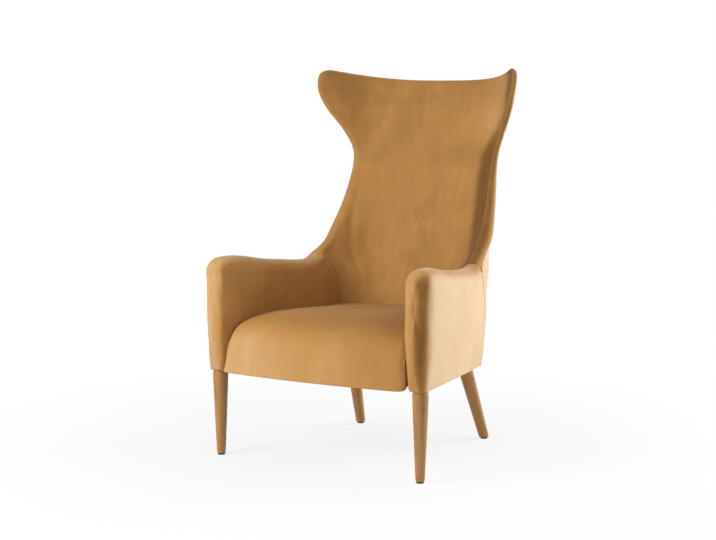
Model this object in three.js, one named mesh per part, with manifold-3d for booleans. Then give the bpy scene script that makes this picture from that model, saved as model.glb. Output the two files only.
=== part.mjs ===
// A tall wing-backed fireside chair: velvet covers over foam, webbing and a timber frame, on tapered legs.
// Millimetres. +X is to the sitter's left, +Y runs from the front legs to the back, +Z is up.
// While it is built, y is zero on the front legs' axes; at the end the chair is centred over its footprint.
import * as THREE from 'three';
import Module from 'manifold-3d';
import { mergeVertices } from 'three/addons/utils/BufferGeometryUtils.js';

const wasm = await Module();
wasm.setup();

// Fits shared by every piece
const gap = 0.3; // clearance left between two pieces that meet
const layerGap = 0.8; // clearance between the curved layers of the back
const overrun = 6; // how far a cutting shape runs past what it cuts
const fabric = 2; // cover cloth with its wadding
const tail = 18; // how far a hollow is carried on below the edge that it opens

// Body heights
const bodyBottom = 250;
const seatHeight = 403; // seat top where it meets the back
const armHeight = 580; // arm top over the front legs
const junctionHeight = 556; // where the wing's edge leaves the arm top
const earHeight = 1117; // highest point of an ear
const topDip = 34.5; // how far the middle of the top edge lies below the ears
const dipStart = 900; // above this height the rows of the back dip to the middle

// Arms
const armThickness = 82;
const armCentreX = 326; // centre of an arm over the front legs
const armToeShare = 0.15; // how much an arm comes in for each unit of depth
const armNoseY = -38;
const noseDrop = 49; // radius of the arm's top front corner in side view
const armTaperHeight = 160; // height over which the arm's nose narrows to the leg
const armTaperIn = 12; // what the narrowing takes off the inner face
const armTaperOut = 9; // what it takes off the outer face
const armTaperPower = 1.1; // 1 narrows evenly, and more keeps the nose wide for longer
const noseLeanShare = 0.1; // part of the way to the leg's axis that the nose moves as it narrows
const armRearY = 458;
const seamSlopeShare = 0.27; // how much further forward the outer seam is for each unit of width
const rearCornerRadius = 75;
const armSeamGap = 3; // clearance from an arm to the back's edge
const armPadInset = 4; // how far an arm's foam stays inside the arm's surface
const armPadBottom = 281;
// Heights of the points up the lower part of an arm's section, and depths of the sections along the nose
// and the arm
const armLevelShares = [[0.34, 0.2], [0.66, 0.6]];
const noseStepShares = [0.015, 0.12, 0.3, 0.6, 1];
const armStationShares = [0.06, 0.14, 0.26, 0.42, 0.6, 0.76, 0.87, 1];

// Back
const backSeatY = 515; // inside back on the centre line at seat height
const leanShare = 0.321; // how much the back leans for each unit of height
const backThickness = 55;
const seamY = 455; // inner seam between an arm and the back
const seamRise = 47; // how far that seam comes forward over the arm top
const outerSeamY = 432;
const outerSeamRise = 32;
const cornerLift = 33; // how far the lower rear corners are rounded up
const waistHalfWidth = 236;
const earHalfWidth = 334;
const earWrap = 204; // how far an ear stands forward of the back's centre line
const bandTop = 18; // width of the band along an ear
const bandFoot = 44; // width of the band where it meets the arm
const padRoll = 8; // how far the inside back swells over its edge
const padFoot = 345; // lower edge of the inside back, just above the seat's webbing
const layerShare = 0.96; // inner layers end here on the way to the back's edge
const rimShare = 0.978; // and the cover's turned edge starts here
const topLayerShare = 0.6; // the same limits between the last two rows
const topRimShare = 0.8;
const columnShares = [0, 0.3, 0.55, 0.75, 0.88, layerShare, 1];
const dipPower = 2.9; // power of the curve across the back by which its top dips
const liftPower = 4; // the same for the lift of its lower corners
const rollPower = 10; // and for the roll of the inside back at its edge
// Rows of the back, counted up from its foot, where its rails and straps start
const bottomRailRow = 3;
const lumbarRailRow = 11;
const topRailRow = 17;
const backStrapRows = [5, 9, 13, 15];

// Seat
const seatFrontY = -38; // front of the seat cover beside the arms
const seatBow = 20; // how far the front swells in the middle
const seatCrown = 14; // how far the top swells in the middle
const seatSideGap = 1.5;
const seatFrontRise = 155; // height of the seat's front from its lower edge to the top
const seatDepth = 505; // from the front of the seat to its back, along an arm
const platformHeight = 340; // underside of the seat foam, on the webbing
const seatBackGap = 2.5; // clearance between the seat and the swollen inside back
const sideDrawShare = 0.5; // how much of the crown the rounded side edges lose again
const sideDrawPower = 8;
const seatBackPower = 3;

// Legs and glides
const legX = 331;
const legTopRadius = 22.5;
const legFootRadius = 12.5;
const glideHeight = 5;
const glideRadius = 11;
const glideStem = 16;
const glideStemRadius = 2.2;
const frontLegTop = 243;
const grooveHeight = 4;
const grooveDepth = 2.5;
const bellyShare = 0.55; // a front leg swells a little at this part of its height
const bellyFullness = 1.5;
const rearFootX = 220;
const rearFootY = 595.5;
const rearHeadX = 196; // where a rear leg's axis crosses the body's bottom
const rearHeadY = 498.5;
const rearLegTopRadius = 21.5;
const rearLegFootRadius = 14.5;

// Timber
const railThickness = 22;
const railBottom = 257;
const railTop = 335;
const frontRailY = 8; // rear face of the front seat rail
const rearRailY = 500; // front face of the rear seat rail
const rearRailHalf = 186;
const rearRailThickness = 15;
const blockSize = 58; // legs of the triangular front corner blocks
const rearBlockInner = 166;
const rearBlockOuter = 212;
const rearBlockY = 446;
const postRadius = 20;
const postFit = 0.6; // clearance round a front post
const armRail = 28; // section of the rails inside an arm
const armRailDrop = 48; // top rail's centre below the arm's top
const rearPostY = 372;
const barRearGap = 0.9; // clearance behind an arm's top rail
const stileThickness = 14;
const stileShare = 0.4; // most of the wing's thickness that a stile may take
const boardThickness = 3;

// Webbing, dust cover and leg bolts
const strapWidth = 50;
const strapThickness = 1.8;
const longStrapPitch = 80;
const crossStrapFirstY = 85;
const crossStrapPitch = 135;
const strapEndInset = 2; // a strap stops this far inside a rail's outer edge
const dustCover = 1.5;
const boltRadius = 5;
const boltLength = 62;
const boltInLeg = 34;
const nutRadius = 11;
const nutThickness = 2.5;

// Counts of facets
const legSides = 20;
const rodSides = 10;
const postSides = 8;
const capSteps = 8;

const velvet = 0xb07e48;
const velvetPale = 0xc79a66;
const oak = 0xb98a5a;
const beech = 0xd2b48c;
const foamYellow = 0xe6d7a8;
const webBlack = 0x2c2a28;
const feltBlack = 0x1f1d1c;
const zinc = 0xb8bcc0;
const glideGrey = 0x4a4846;
const boardBrown = 0x8d6b45;

const chair = new THREE.Group();

// Helpers for solids

function material(color, roughness, metalness = 0) {
  return new THREE.MeshStandardMaterial({ color, roughness, metalness });
}

function merged(geometry) {
  const bare = geometry.index ? geometry.toNonIndexed() : geometry.clone();
  bare.deleteAttribute('normal');
  bare.deleteAttribute('uv');
  return mergeVertices(bare, gap / 1000);
}

function solid(geometry) {
  const g = merged(geometry);
  return new wasm.Manifold(new wasm.Mesh({
    numProp: 3,
    vertProperties: Float32Array.from(g.attributes.position.array),
    triVerts: Uint32Array.from(g.index.array),
  }));
}

function geometryOf(body) {
  const mesh = body.getMesh();
  const g = new THREE.BufferGeometry();
  const count = mesh.vertProperties.length / mesh.numProp;
  const position = new Float32Array(count * 3);
  for (let i = 0; i < count; i += 1) {
    for (let k = 0; k < 3; k += 1) position[i * 3 + k] = mesh.vertProperties[i * mesh.numProp + k];
  }
  g.setAttribute('position', new THREE.BufferAttribute(position, 3));
  g.setIndex(new THREE.BufferAttribute(Uint32Array.from(mesh.triVerts), 1));
  return g;
}

function cut(geometry, ...tools) {
  let body = solid(geometry);
  for (const tool of tools) body = body.subtract(solid(tool));
  return geometryOf(body);
}

// A cut that keeps only the largest of the solids it leaves
function cutWhole(geometry, ...tools) {
  let body = solid(geometry);
  for (const tool of tools) body = body.subtract(solid(tool));
  return geometryOf(body.decompose().reduce((best, part) => (part.volume() > best.volume() ? part : best)));
}

function join(first, ...others) {
  let body = solid(first);
  for (const other of others) body = body.add(solid(other));
  return geometryOf(body);
}

function common(first, second) {
  return geometryOf(solid(first).intersect(solid(second)));
}

function add(name, geometry, finish) {
  const mesh = new THREE.Mesh(geometry, finish);
  mesh.name = name;
  chair.add(mesh);
}

function box(x0, x1, y0, y1, z0, z1) {
  const g = new THREE.BoxGeometry(x1 - x0, y1 - y0, z1 - z0);
  return g.translate((x0 + x1) / 2, (y0 + y1) / 2, (z0 + z1) / 2);
}

// An upright prism over a plan outline
function prism(outline, z0, z1) {
  const shape = new THREE.Shape(outline.map(([x, y]) => new THREE.Vector2(x, y)));
  return new THREE.ExtrudeGeometry(shape, { depth: z1 - z0, bevelEnabled: false }).translate(0, 0, z0);
}

// A round rod between two points, which may taper
function rod(from, to, radius, endRadius = radius, sides = rodSides) {
  const way = new THREE.Vector3().subVectors(to, from);
  const g = new THREE.CylinderGeometry(endRadius, radius, way.length(), sides);
  const turn = new THREE.Quaternion().setFromUnitVectors(new THREE.Vector3(0, 1, 0), way.clone().normalize());
  const middle = new THREE.Vector3().addVectors(from, to).multiplyScalar(1 / 2);
  return g.applyQuaternion(turn).translate(middle.x, middle.y, middle.z);
}

function point(x, y, z) {
  return new THREE.Vector3(x, y, z);
}

// The mirror image across the chair's middle, with its faces still pointing out
function mirrored(geometry) {
  const g = geometry.index ? geometry.toNonIndexed() : geometry.clone();
  g.scale(-1, 1, 1);
  const a = g.attributes.position.array;
  for (let i = 0; i < a.length; i += 9) {
    for (let k = 0; k < 3; k += 1) [a[i + 3 + k], a[i + 6 + k]] = [a[i + 6 + k], a[i + 3 + k]];
  }
  return merged(g);
}

function addPair(name, geometry, finish) {
  add(`${name}_left`, mirrored(geometry), finish);
  add(`${name}_right`, merged(geometry), finish);
}

// Builds a closed solid from triangles given as rings of points
class Skin {
  constructor() {
    this.values = [];
  }

  triangle(a, b, c) {
    this.values.push(a.x, a.y, a.z, b.x, b.y, b.z, c.x, c.y, c.z);
  }

  quad(a, b, c, d) {
    this.triangle(a, b, c);
    this.triangle(a, c, d);
  }

  geometry() {
    const g = new THREE.BufferGeometry();
    g.setAttribute('position', new THREE.BufferAttribute(new Float32Array(this.values), 3));
    return merged(g);
  }
}

// A slab between a front sheet and a rear sheet, both given as columns of points from left to right.
// Each quad is split the same way on both sheets, and the left half mirrors the right half.
function slab(front, rear) {
  const skin = new Skin();
  const columns = front.length - 1;
  const rows = front[0].length - 1;
  for (let i = 0; i < columns; i += 1) {
    const leftHalf = front[i][0].x + front[i + 1][0].x < 0;
    for (let j = 0; j < rows; j += 1) {
      const ahead = [front[i][j], front[i + 1][j], front[i + 1][j + 1], front[i][j + 1]];
      const behind = [rear[i + 1][j], rear[i][j], rear[i][j + 1], rear[i + 1][j + 1]];
      if (leftHalf) ahead.push(ahead.shift());
      else behind.push(behind.shift());
      skin.quad(...ahead);
      skin.quad(...behind);
    }
    const under = [rear[i][0], rear[i + 1][0], front[i + 1][0], front[i][0]];
    const over = [front[i][rows], front[i + 1][rows], rear[i + 1][rows], rear[i][rows]];
    if (leftHalf) [under, over].forEach((side) => side.push(side.shift()));
    skin.quad(...under);
    skin.quad(...over);
  }
  for (let j = 0; j < rows; j += 1) {
    skin.quad(front[0][j], front[0][j + 1], rear[0][j + 1], rear[0][j]);
    skin.quad(front[columns][j], rear[columns][j], rear[columns][j + 1], front[columns][j + 1]);
  }
  return skin.geometry();
}

// A loft through closed rings of points, with flat caps; planeAxes are the two axes that the rings lie
// along
function loft(rings, planeAxes) {
  const skin = new Skin();
  const count = rings[0].length;
  for (let i = 0; i + 1 < rings.length; i += 1) {
    for (let k = 0; k < count; k += 1) {
      const next = (k + 1) % count;
      skin.quad(rings[i][k], rings[i][next], rings[i + 1][next], rings[i + 1][k]);
    }
  }
  const [first, last] = [rings[0], rings[rings.length - 1]];
  for (const [a, b, c] of capTriangles(first, planeAxes)) skin.triangle(first[a], first[c], first[b]);
  for (const [a, b, c] of capTriangles(last, planeAxes)) skin.triangle(last[a], last[b], last[c]);
  return outward(skin.geometry());
}

// Triangles that fill a ring, turned the same way round as the ring
function capTriangles(ring, [u, v]) {
  const outline = ring.map((p) => new THREE.Vector2(p[u], p[v]));
  const whole = Math.sign(THREE.ShapeUtils.area(outline));
  return THREE.ShapeUtils.triangulateShape(outline, []).map(([a, b, c]) => {
    const own = Math.sign(THREE.ShapeUtils.area([outline[a], outline[b], outline[c]]));
    return own === -whole ? [a, c, b] : [a, b, c];
  });
}

// Turns every triangle round when the faces point in
function outward(geometry) {
  const place = geometry.attributes.position;
  const order = geometry.index.array;
  let volume = 0;
  for (let i = 0; i < order.length; i += 3) {
    const [p, q, r] = [0, 1, 2].map((k) => new THREE.Vector3().fromBufferAttribute(place, order[i + k]));
    volume += p.dot(q.cross(r));
  }
  if (volume < 0) {
    for (let i = 0; i < order.length; i += 3) [order[i + 1], order[i + 2]] = [order[i + 2], order[i + 1]];
  }
  return geometry;
}

// Straight or smooth reading of a table whose rows are [place, value, value, ...]
function reader(rows) {
  const size = rows[0].length - 1;
  const places = rows.map((row) => row[0]);
  const values = rows.flatMap((row) => row.slice(1));
  const curve = new THREE.CubicInterpolant(places, values, size, new Float64Array(size));
  return (at) => Array.from(curve.evaluate(THREE.MathUtils.clamp(at, places[0], places[places.length - 1])));
}

// The arm

function armCentre(y) {
  return armCentreX - armToeShare * y;
}

function armInner(y) {
  return armCentre(y) - armThickness / 2;
}

function armOuter(y) {
  return armCentre(y) + armThickness / 2;
}

// Arm top against depth, as shares of the seam's depth and of the arm's height
const armTopShares = [
  [-0.09, 1], [0.07, 1], [0.14, 0.998], [0.25, 0.984], [0.36, 0.971], [0.55, 0.953], [0.72, 0.94],
  [0.83, 0.942], [0.9, 0.959], [1.04, 0.99],
];
const readArmTop = reader(armTopShares);

function armTop(y) {
  const [share] = readArmTop(y / seamY);
  const toCorner = Math.max(0, noseDrop - (y - armNoseY));
  const drop = noseDrop - Math.sqrt(Math.max(0, noseDrop ** 2 - Math.min(noseDrop, toCorner) ** 2));
  return share * armHeight - drop;
}

// How far the nose has narrowed at a height: 0 above the taper, 1 at the bottom
function taper(z) {
  const below = (bodyBottom + armTaperHeight - z) / armTaperHeight;
  return THREE.MathUtils.clamp(below, 0, 1) ** armTaperPower;
}

// Half width that the rounded nose leaves at a depth and height
function noseHalf(y, z, inset) {
  const half = armThickness / 2 - armTaperIn * taper(z) * nearNose(y) - inset;
  const centre = (armNoseY + armThickness / 2) * (1 - taper(z));
  if (y >= centre) return half;
  const reach = Math.min(1, (centre - y) / half);
  return half * Math.sqrt(Math.max(0, 1 - reach ** 2));
}

// 1 at the nose, fading to 0 along the arm
function nearNose(y) {
  const faded = (y - armNoseY - armThickness / 2) / (armThickness + armTaperHeight);
  return 1 - THREE.MathUtils.smoothstep(faded, 0, 1);
}

// The lower edge of an arm's section: it rises at the nose, where the taper has drawn back, and at the
// rear corner
function armLower(y, inset, bottom) {
  const drawn = armTaperIn - armNoseY - armThickness / 2;
  const along = THREE.MathUtils.clamp((y - armNoseY - inset) / drawn, 0, 1);
  const noseLift = armTaperHeight * (1 - along ** (1 / armTaperPower));
  const past = Math.min(rearCornerRadius, Math.max(0, y - (outerSeamY - rearCornerRadius)));
  const rearLift = rearCornerRadius - Math.sqrt(rearCornerRadius ** 2 - past ** 2);
  return bottom + noseLift + Math.min(rearLift, cornerLift);
}

// Heights up the lower part of an arm's section, from its lower edge to where the narrowing starts
function armLevels(low) {
  const knee = bodyBottom + armTaperHeight;
  const between = armLevelShares.map(([set, least]) => (
    Math.max(bodyBottom + set * armTaperHeight, low + least * (knee - low))
  ));
  return [low, ...between, knee];
}

// One upright section across an arm, as a closed ring, which may be carried straight down below its
// lower edge
function armRing(y, inset, bottom, down) {
  const low = Math.min(armLower(y, inset, bottom), bodyBottom + armTaperHeight - overrun);
  const wide = Math.max(noseHalf(y, armHeight, inset), gap);
  const top = armTop(y) - inset;
  const cap = Math.min(wide, (top - low) / 2);
  const levels = armLevels(low);
  const half = (z) => Math.max(noseHalf(y, z, inset), gap);
  const centre = armCentre(y);
  const inner = levels.map((z) => point(centre - half(z) + lean(z), y, z));
  const outer = levels.map((z) => point(centre + half(z) + lean(z) + outerEase(y, z), y, z));
  if (down) {
    inner.unshift(inner[0].clone().setZ(low - down));
    outer.unshift(outer[0].clone().setZ(low - down));
  }
  const over = [];
  for (let k = 0; k <= capSteps; k += 1) {
    const turn = Math.PI * k / capSteps;
    over.push(point(centre - wide * Math.cos(turn), y, top - cap + cap * Math.sin(turn)));
  }
  return [...inner, ...over, ...outer.reverse()];
}

// The nose's axis moves a little towards the leg's axis as it narrows
function lean(z) {
  return noseLeanShare * (legX - armCentreX) * taper(z);
}

// Behind the nose the outer face keeps its width, less a small draw-in at the bottom
function outerEase(y, z) {
  const own = armTaperIn * taper(z) * nearNose(y);
  const behind = THREE.MathUtils.smoothstep((y - armNoseY) / armThickness, 0, 1);
  return behind * (own - (armTaperOut + lean(z)) * taper(z));
}

function armStations(rear) {
  const front = armNoseY + fabric;
  const nose = noseStepShares.map((share) => front + share * (armThickness / 2 - fabric));
  const last = nose[nose.length - 1];
  return [...nose, ...armStationShares.map((share) => last + share * (rear - last))];
}

function armSolid(inset, bottom, down = 0) {
  const stations = armStations(armRearY).filter((y) => y > armNoseY + inset);
  if (!inset) stations.unshift(armNoseY + gap);
  if (down) stations.push(armRearY + overrun);
  return loft(stations.map((y) => skewed(armRing(y, inset, bottom, down), y)), ['x', 'z']);
}

// Towards the rear the sections turn to lie along the seam with the back
function skewed(ring, y) {
  const start = armRearY - armThickness * 2;
  const share = THREE.MathUtils.clamp((y - start) / (armRearY - start), 0, 1);
  return ring.map((p) => {
    const shift = -share * seamSlopeShare * (p.x - armCentre(y));
    return point(p.x - armToeShare * shift, p.y + shift, p.z);
  });
}

// The back

// Rows of the back below the arm junction. Height as a share of the way up to it, then the shares of the
// seam's rise that the inner and outer seams have come forward, of half an arm that they have moved in
// over its shoulder, and of the corner lift, then the powers of the inside and outside plan curves and
// the share of the back's thickness.
const lowerRowShares = [
  [0.007, 0.06, 0.95, 0, 0, 0.75, 3, 5, 1.29],
  [0.137, 0.04, 0.5, 0, 0, 0.2, 3, 5, 1.33],
  [0.31, 0.02, 0.2, 0, 0, 0.1, 3, 5.5, 1.24],
  [0.5, 0, 0, 0, 0, 0, 3, 5.8, 1.13],
  [0.654, 0, 0.125, 0, 0, 0, 3.2, 5.4, 1.07],
  [0.817, 0.11, 0.47, 0.1, 0.03, 0, 3.6, 6, 1.02],
  [0.941, 0.64, 0.84, 0.5, 0.12, 0, 4.3, 7, 1],
  [1, 1, 0.125, 0.83, 0.13, 0, 4.5, 6.4, 0.98],
];

// Rows above it. Height as a share of the way up to the ears, then half width as a share of the way from
// the waist to the ears, wrap as a share of the ears' wrap, band width as a share of the way from its
// top to its foot, the band's turn in degrees, the two powers and the thickness share.
const upperRowShares = [
  [0.052, 0.184, 0.59, 1, 47, 4, 5, 0.96],
  [0.106, 0.163, 0.505, 0.92, 46, 3.5, 4.2, 0.95],
  [0.168, 0.117, 0.408, 0.69, 52, 3.1, 3.6, 0.93],
  [0.258, 0.071, 0.335, 0.5, 52, 2.8, 3.1, 0.91],
  [0.366, 0.015, 0.297, 0.35, 51, 2.5, 2.8, 0.89],
  [0.473, 0, 0.289, 0.12, 50, 2.4, 2.5, 0.87],
  [0.563, 0.066, 0.333, 0.04, 47, 2.4, 2.4, 0.85],
  [0.67, 0.367, 0.506, 0, 41, 2.4, 2.4, 0.84],
  [0.778, 0.745, 0.762, 0, 36, 2.5, 2.5, 0.8],
  [0.867, 0.934, 0.929, 0, 40, 2.6, 2.6, 0.76],
  [0.939, 0.99, 0.987, 0, 42, 2.6, 2.6, 0.73],
  [0.978, 0.944, 0.992, 0, 42, 2.6, 2.6, 0.7],
  [1, 0.79, 0.95, 0, 42, 2.6, 2.6, 0.68],
];

function backCentre(z) {
  return backSeatY + leanShare * (z - seatHeight);
}

function lowerRow([heightShare, inner, outer, shoulderIn, shoulderOut, lift, inPower, outPower, thick]) {
  const z = bodyBottom + heightShare * (junctionHeight - bodyBottom);
  const yIn = seamY - inner * seamRise;
  const yOut = outerSeamY - outer * outerSeamRise;
  const edgeIn = point(armInner(yIn) + shoulderIn * armThickness / 2, yIn, z);
  const edgeOut = point(armOuter(yOut) - shoulderOut * armThickness / 2, yOut, z + lift * cornerLift);
  return { z, edgeIn, edgeOut, inPower, outPower, thick };
}

function upperRow([heightShare, wide, wrap, band, turn, inPower, outPower, thick]) {
  const z = junctionHeight + heightShare * (earHeight - junctionHeight);
  const x = waistHalfWidth + wide * (earHalfWidth - waistHalfWidth);
  const edgeIn = point(x, backCentre(z) - wrap * earWrap, z);
  const width = bandTop + band * (bandFoot - bandTop);
  const angle = THREE.MathUtils.degToRad(turn);
  const edgeOut = edgeIn.clone().add(point(width * Math.sin(angle), width * Math.cos(angle), 0));
  return { z, edgeIn, edgeOut, inPower, outPower, thick };
}

const tableRows = [...lowerRowShares.map(lowerRow), ...upperRowShares.map(upperRow)];

// A row part of the way between two rows of the table
function rowAt(place) {
  const low = tableRows[Math.min(Math.floor(place), tableRows.length - 1)];
  const high = tableRows[Math.min(Math.floor(place) + 1, tableRows.length - 1)];
  const share = place - Math.floor(place);
  const mix = (a, b) => a + (b - a) * share;
  return {
    z: mix(low.z, high.z),
    edgeIn: low.edgeIn.clone().lerp(high.edgeIn, share),
    edgeOut: low.edgeOut.clone().lerp(high.edgeOut, share),
    inPower: mix(low.inPower, high.inPower),
    outPower: mix(low.outPower, high.outPower),
    thick: mix(low.thick, high.thick),
  };
}

const lastRow = tableRows.length - 1;
const rowPlaces = [...tableRows.keys()].slice(0, -1).concat([lastRow - 1 + topLayerShare, lastRow]);
const rows = rowPlaces.map(rowAt);
const rimRow = rowAt(lastRow - 1 + topRimShare);
const columns = [...columnShares.slice(1).reverse().map((share) => -share), ...columnShares];

// Height of a row on the centre line, which dips below the ears near the top
function centreHeight(z) {
  const above = Math.max(0, z - dipStart);
  return z - topDip * above / (earHeight - dipStart);
}

function planPoint(column, edge, centreY, centreZ, power, zPower) {
  const out = Math.abs(column);
  return point(
    column * edge.x,
    centreY - (centreY - edge.y) * out ** power,
    centreZ + (edge.z - centreZ) * out ** zPower,
  );
}

function innerPoint(column, row) {
  const centreZ = centreHeight(row.z);
  return planPoint(column, row.edgeIn, backCentre(centreZ) + padRoll, centreZ, row.inPower, dipPower);
}

function outerPoint(column, row) {
  const centreZ = centreHeight(row.z);
  const centreY = backCentre(centreZ) + row.thick * backThickness;
  const zPower = row.z < seatHeight ? liftPower : dipPower;
  return planPoint(column, row.edgeOut, centreY, centreZ, row.outPower, zPower);
}

// Thickness of the back at a grid point, from its unswollen inner face
function thickness(column, row) {
  return innerPoint(column, row).distanceTo(outerPoint(column, row));
}

// A point at a depth from the outside of the back
function fromOutside(column, row, depth) {
  const inner = innerPoint(column, row);
  const outer = outerPoint(column, row);
  return outer.clone().lerp(inner, depth / inner.distanceTo(outer));
}

// Depth from the outside of the swollen inside face
function faceDepth(column, row) {
  return thickness(column, row) + padRoll * (1 - Math.abs(column) ** rollPower);
}

function sheet(columnSet, rowSet, depth, forward = 0) {
  const move = point(0, -forward, 0);
  const place = (column, row) => fromOutside(column, row, depth(column, row)).add(move);
  return columnSet.map((column) => rowSet.map((row) => place(column, row)));
}

// A layer from one depth forward to another
function backLayer(columnSet, rowSet, frontDepth, rearDepth, forward = 0) {
  return slab(sheet(columnSet, rowSet, frontDepth, forward), sheet(columnSet, rowSet, rearDepth));
}

const within = (limit) => columns.filter((column) => Math.abs(column) <= limit);
const between = (low, high) => columns.filter((column) => column >= low && column <= high);
const [stileStart, strapEnd] = [columnShares[3], columnShares[4]];

function lowered(row) {
  const down = point(0, 0, -overrun * 2);
  const [edgeIn, edgeOut] = [row.edgeIn, row.edgeOut].map((p) => p.clone().add(down));
  return { ...row, z: row.z + down.z, edgeIn, edgeOut };
}

// The whole back, a little larger, as one solid for cutting what meets it
function backVolume(grow) {
  const rowSet = [lowered(rows[0]), ...rows];
  const push = (j, side) => seamNormal(rowSet[j], side).multiplyScalar(grow);
  const moved = (points, side) => points.forEach((p, j) => p.add(push(j, side)));
  const sheets = [sheet(columns, rowSet, faceDepth, grow * 2), sheet(columns, rowSet, () => -overrun)];
  for (const own of sheets) {
    moved(own[0], -1);
    moved(own[own.length - 1], 1);
  }
  return slab(...sheets);
}

// The way that the back's edge faces, towards the arm
function seamNormal(row, side) {
  const way = row.edgeOut.clone().sub(row.edgeIn);
  return point(side * way.y, -way.x, 0).normalize();
}

const boardDepth = fabric + layerGap;
const frameDepth = boardDepth + boardThickness + layerGap;

function stileDepth(column, row) {
  return frameDepth + Math.min(stileThickness, stileShare * faceDepth(column, row));
}

function strapDepth(column, row) {
  return stileDepth(column, row) + layerGap + strapThickness;
}

function foamDepth(column, row) {
  const behind = Math.abs(column) <= strapEnd ? strapDepth(column, row) : stileDepth(column, row);
  return behind + layerGap;
}

const layerColumns = within(layerShare);
const layerRows = rows.slice(0, rows.length - 1);

// The row of the back at a height
function rowAtHeight(z) {
  const below = tableRows.findLastIndex((row) => row.z <= z);
  const [low, high] = [tableRows[below], tableRows[below + 1]];
  return rowAt(below + (z - low.z) / (high.z - low.z));
}

// The inside back starts just above the seat's webbing, whatever rows the table has there
const padRows = [rowAtHeight(padFoot), ...layerRows.filter((row) => row.z > padFoot + overrun)];

function outsideBackCover() {
  const full = backLayer(columns, rows, (c, r) => thickness(c, r), () => 0);
  const hollowRows = [lowered(rows[0]), ...layerRows, rimRow];
  const hollowColumns = [-rimShare, ...layerColumns, rimShare];
  const hollow = backLayer(hollowColumns, hollowRows, faceDepth, () => fabric, overrun * 2);
  return cut(full, hollow);
}

function backStile() {
  const own = between(stileStart, layerShare);
  return backLayer(own, layerRows.slice(1), stileDepth, () => frameDepth);
}

// A rail across the back between one row and the next
function backRail(row) {
  const own = between(-stileStart, stileStart);
  const rowSet = rows.slice(row, row + 2);
  const clear = (c) => c * (1 - layerGap / (waistHalfWidth * stileStart));
  const narrow = own.map(clear);
  return backLayer(narrow, rowSet, stileDepth, () => frameDepth);
}

function backStrap(row) {
  const own = between(-strapEnd, strapEnd);
  return backLayer(own, rows.slice(row, row + 2), strapDepth, (c, r) => stileDepth(c, r) + layerGap);
}

// The seat

// Side profile of the seat from its lower front edge to the back: depth as a share of the seat's depth
// and height as a share of the front's rise, then the shares of the bow and of the crown that the middle
// gains there.
const seatProfileShares = [
  [0, 0, 1, 0], [0.012, 0.157, 1, 0], [0.018, 0.314, 0.98, 0], [0.028, 0.484, 0.93, 0.1],
  [0.046, 0.654, 0.85, 0.25],
  [0.081, 0.83, 0.6, 0.5], [0.139, 0.941, 0.35, 0.8], [0.224, 1.007, 0.15, 1], [0.333, 1.043, 0, 1],
  [0.511, 1.033, 0, 1], [0.709, 1, 0, 0.8], [0.867, 0.984, 0, 0.35], [1, 0.98, 0, 0],
];
function insideBackY(x, z) {
  const reach = Math.min(1, Math.abs(x) / armInner(seamY));
  const centre = backCentre(z) + padRoll;
  return centre - (centre - seamY) * reach ** seatBackPower - padRoll * (1 - reach ** rollPower);
}

// The seat's side follows the arm's inner face, also where the nose narrows
function seatHalf(y, z, inset) {
  const beside = Math.max(y, armNoseY + armThickness / 2);
  return armCentre(beside) - noseHalf(beside, z, 0) + lean(z) - seatSideGap - inset;
}

// One column of the seat's cover, from the front's lower edge up and over to the back
function seatLine(column, inset, down) {
  const bulge = 1 - column ** 2;
  const crownHere = seatCrown * (bulge - sideDrawShare * Math.abs(column) ** sideDrawPower);
  const line = seatProfileShares.map(([deep, high, bow, crown]) => [
    seatFrontY + deep * seatDepth - bow * seatBow * bulge,
    bodyBottom + high * seatFrontRise + crown * crownHere,
  ]);
  const inner = drawnIn(line, inset);
  if (down) inner[0][1] = bodyBottom;
  else inner[0] = raisedFoot(inner, inset);
  const end = inner[inner.length - 1];
  end[0] = insideBackY(column * seatHalf(seamY, end[1], inset), end[1]) - seatBackGap - inset;
  const points = inner.map(([y, z]) => point(column * seatHalf(y, z, inset), y, z));
  return down ? [points[0].clone().setZ(bodyBottom - down), ...points] : points;
}

// The lowest point of a line, raised along the line by the inset
function raisedFoot([low, next], inset) {
  const slope = (next[0] - low[0]) / (next[1] - bodyBottom);
  return [low[0] + inset * slope, bodyBottom + inset];
}

// A line of [depth, height] moved inward by a distance
function drawnIn(line, inset) {
  return line.map(([y, z], i) => {
    const [a, b] = [line[Math.max(0, i - 1)], line[Math.min(line.length - 1, i + 1)]];
    const length = Math.hypot(b[0] - a[0], b[1] - a[1]);
    return [y + inset * (b[1] - a[1]) / length, z - inset * (b[0] - a[0]) / length];
  });
}

// The seat as a closed solid: its line, then down the back, under the foam and down behind the front edge
function seatSolid(inset, down, platform, lipY, narrower = 0) {
  const rings = columns.map((column) => {
    const line = seatLine(column, inset, down);
    const under = (y, z) => point(column * seatHalf(y, z, inset), y, z);
    const backLow = insideBackY(line[line.length - 1].x, platform) - seatBackGap - inset;
    const foot = line.slice(0, down ? 2 : 1).map((p) => point(p.x, lipY, p.z)).reverse();
    const ring = [...line, under(backLow, platform), under(lipY, platform), ...foot];
    return ring.map((p) => point(p.x - column * narrower, p.y, p.z));
  });
  return loft(rings, ['y', 'z']);
}

// Timber seat frame

function sideRailX(y) {
  return armInner(y) - seatSideGap - gap;
}

function sideRail() {
  const [y0, y1] = [frontRailY + gap, rearBlockY - gap];
  const [front, rear] = [sideRailX(y0), sideRailX(y1)];
  const outline = [[front - railThickness, y0], [front, y0], [rear, y1], [rear - railThickness, y1]];
  return prism(outline, railBottom, strapTop);
}

function frontBlock() {
  const y0 = frontRailY + gap;
  const x = sideRailX(y0) - railThickness - gap;
  const corner = [[x, y0], [x - armToeShare * blockSize, y0 + blockSize], [x - blockSize, y0]];
  return prism(corner, railBottom, railTop - railThickness);
}

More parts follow.
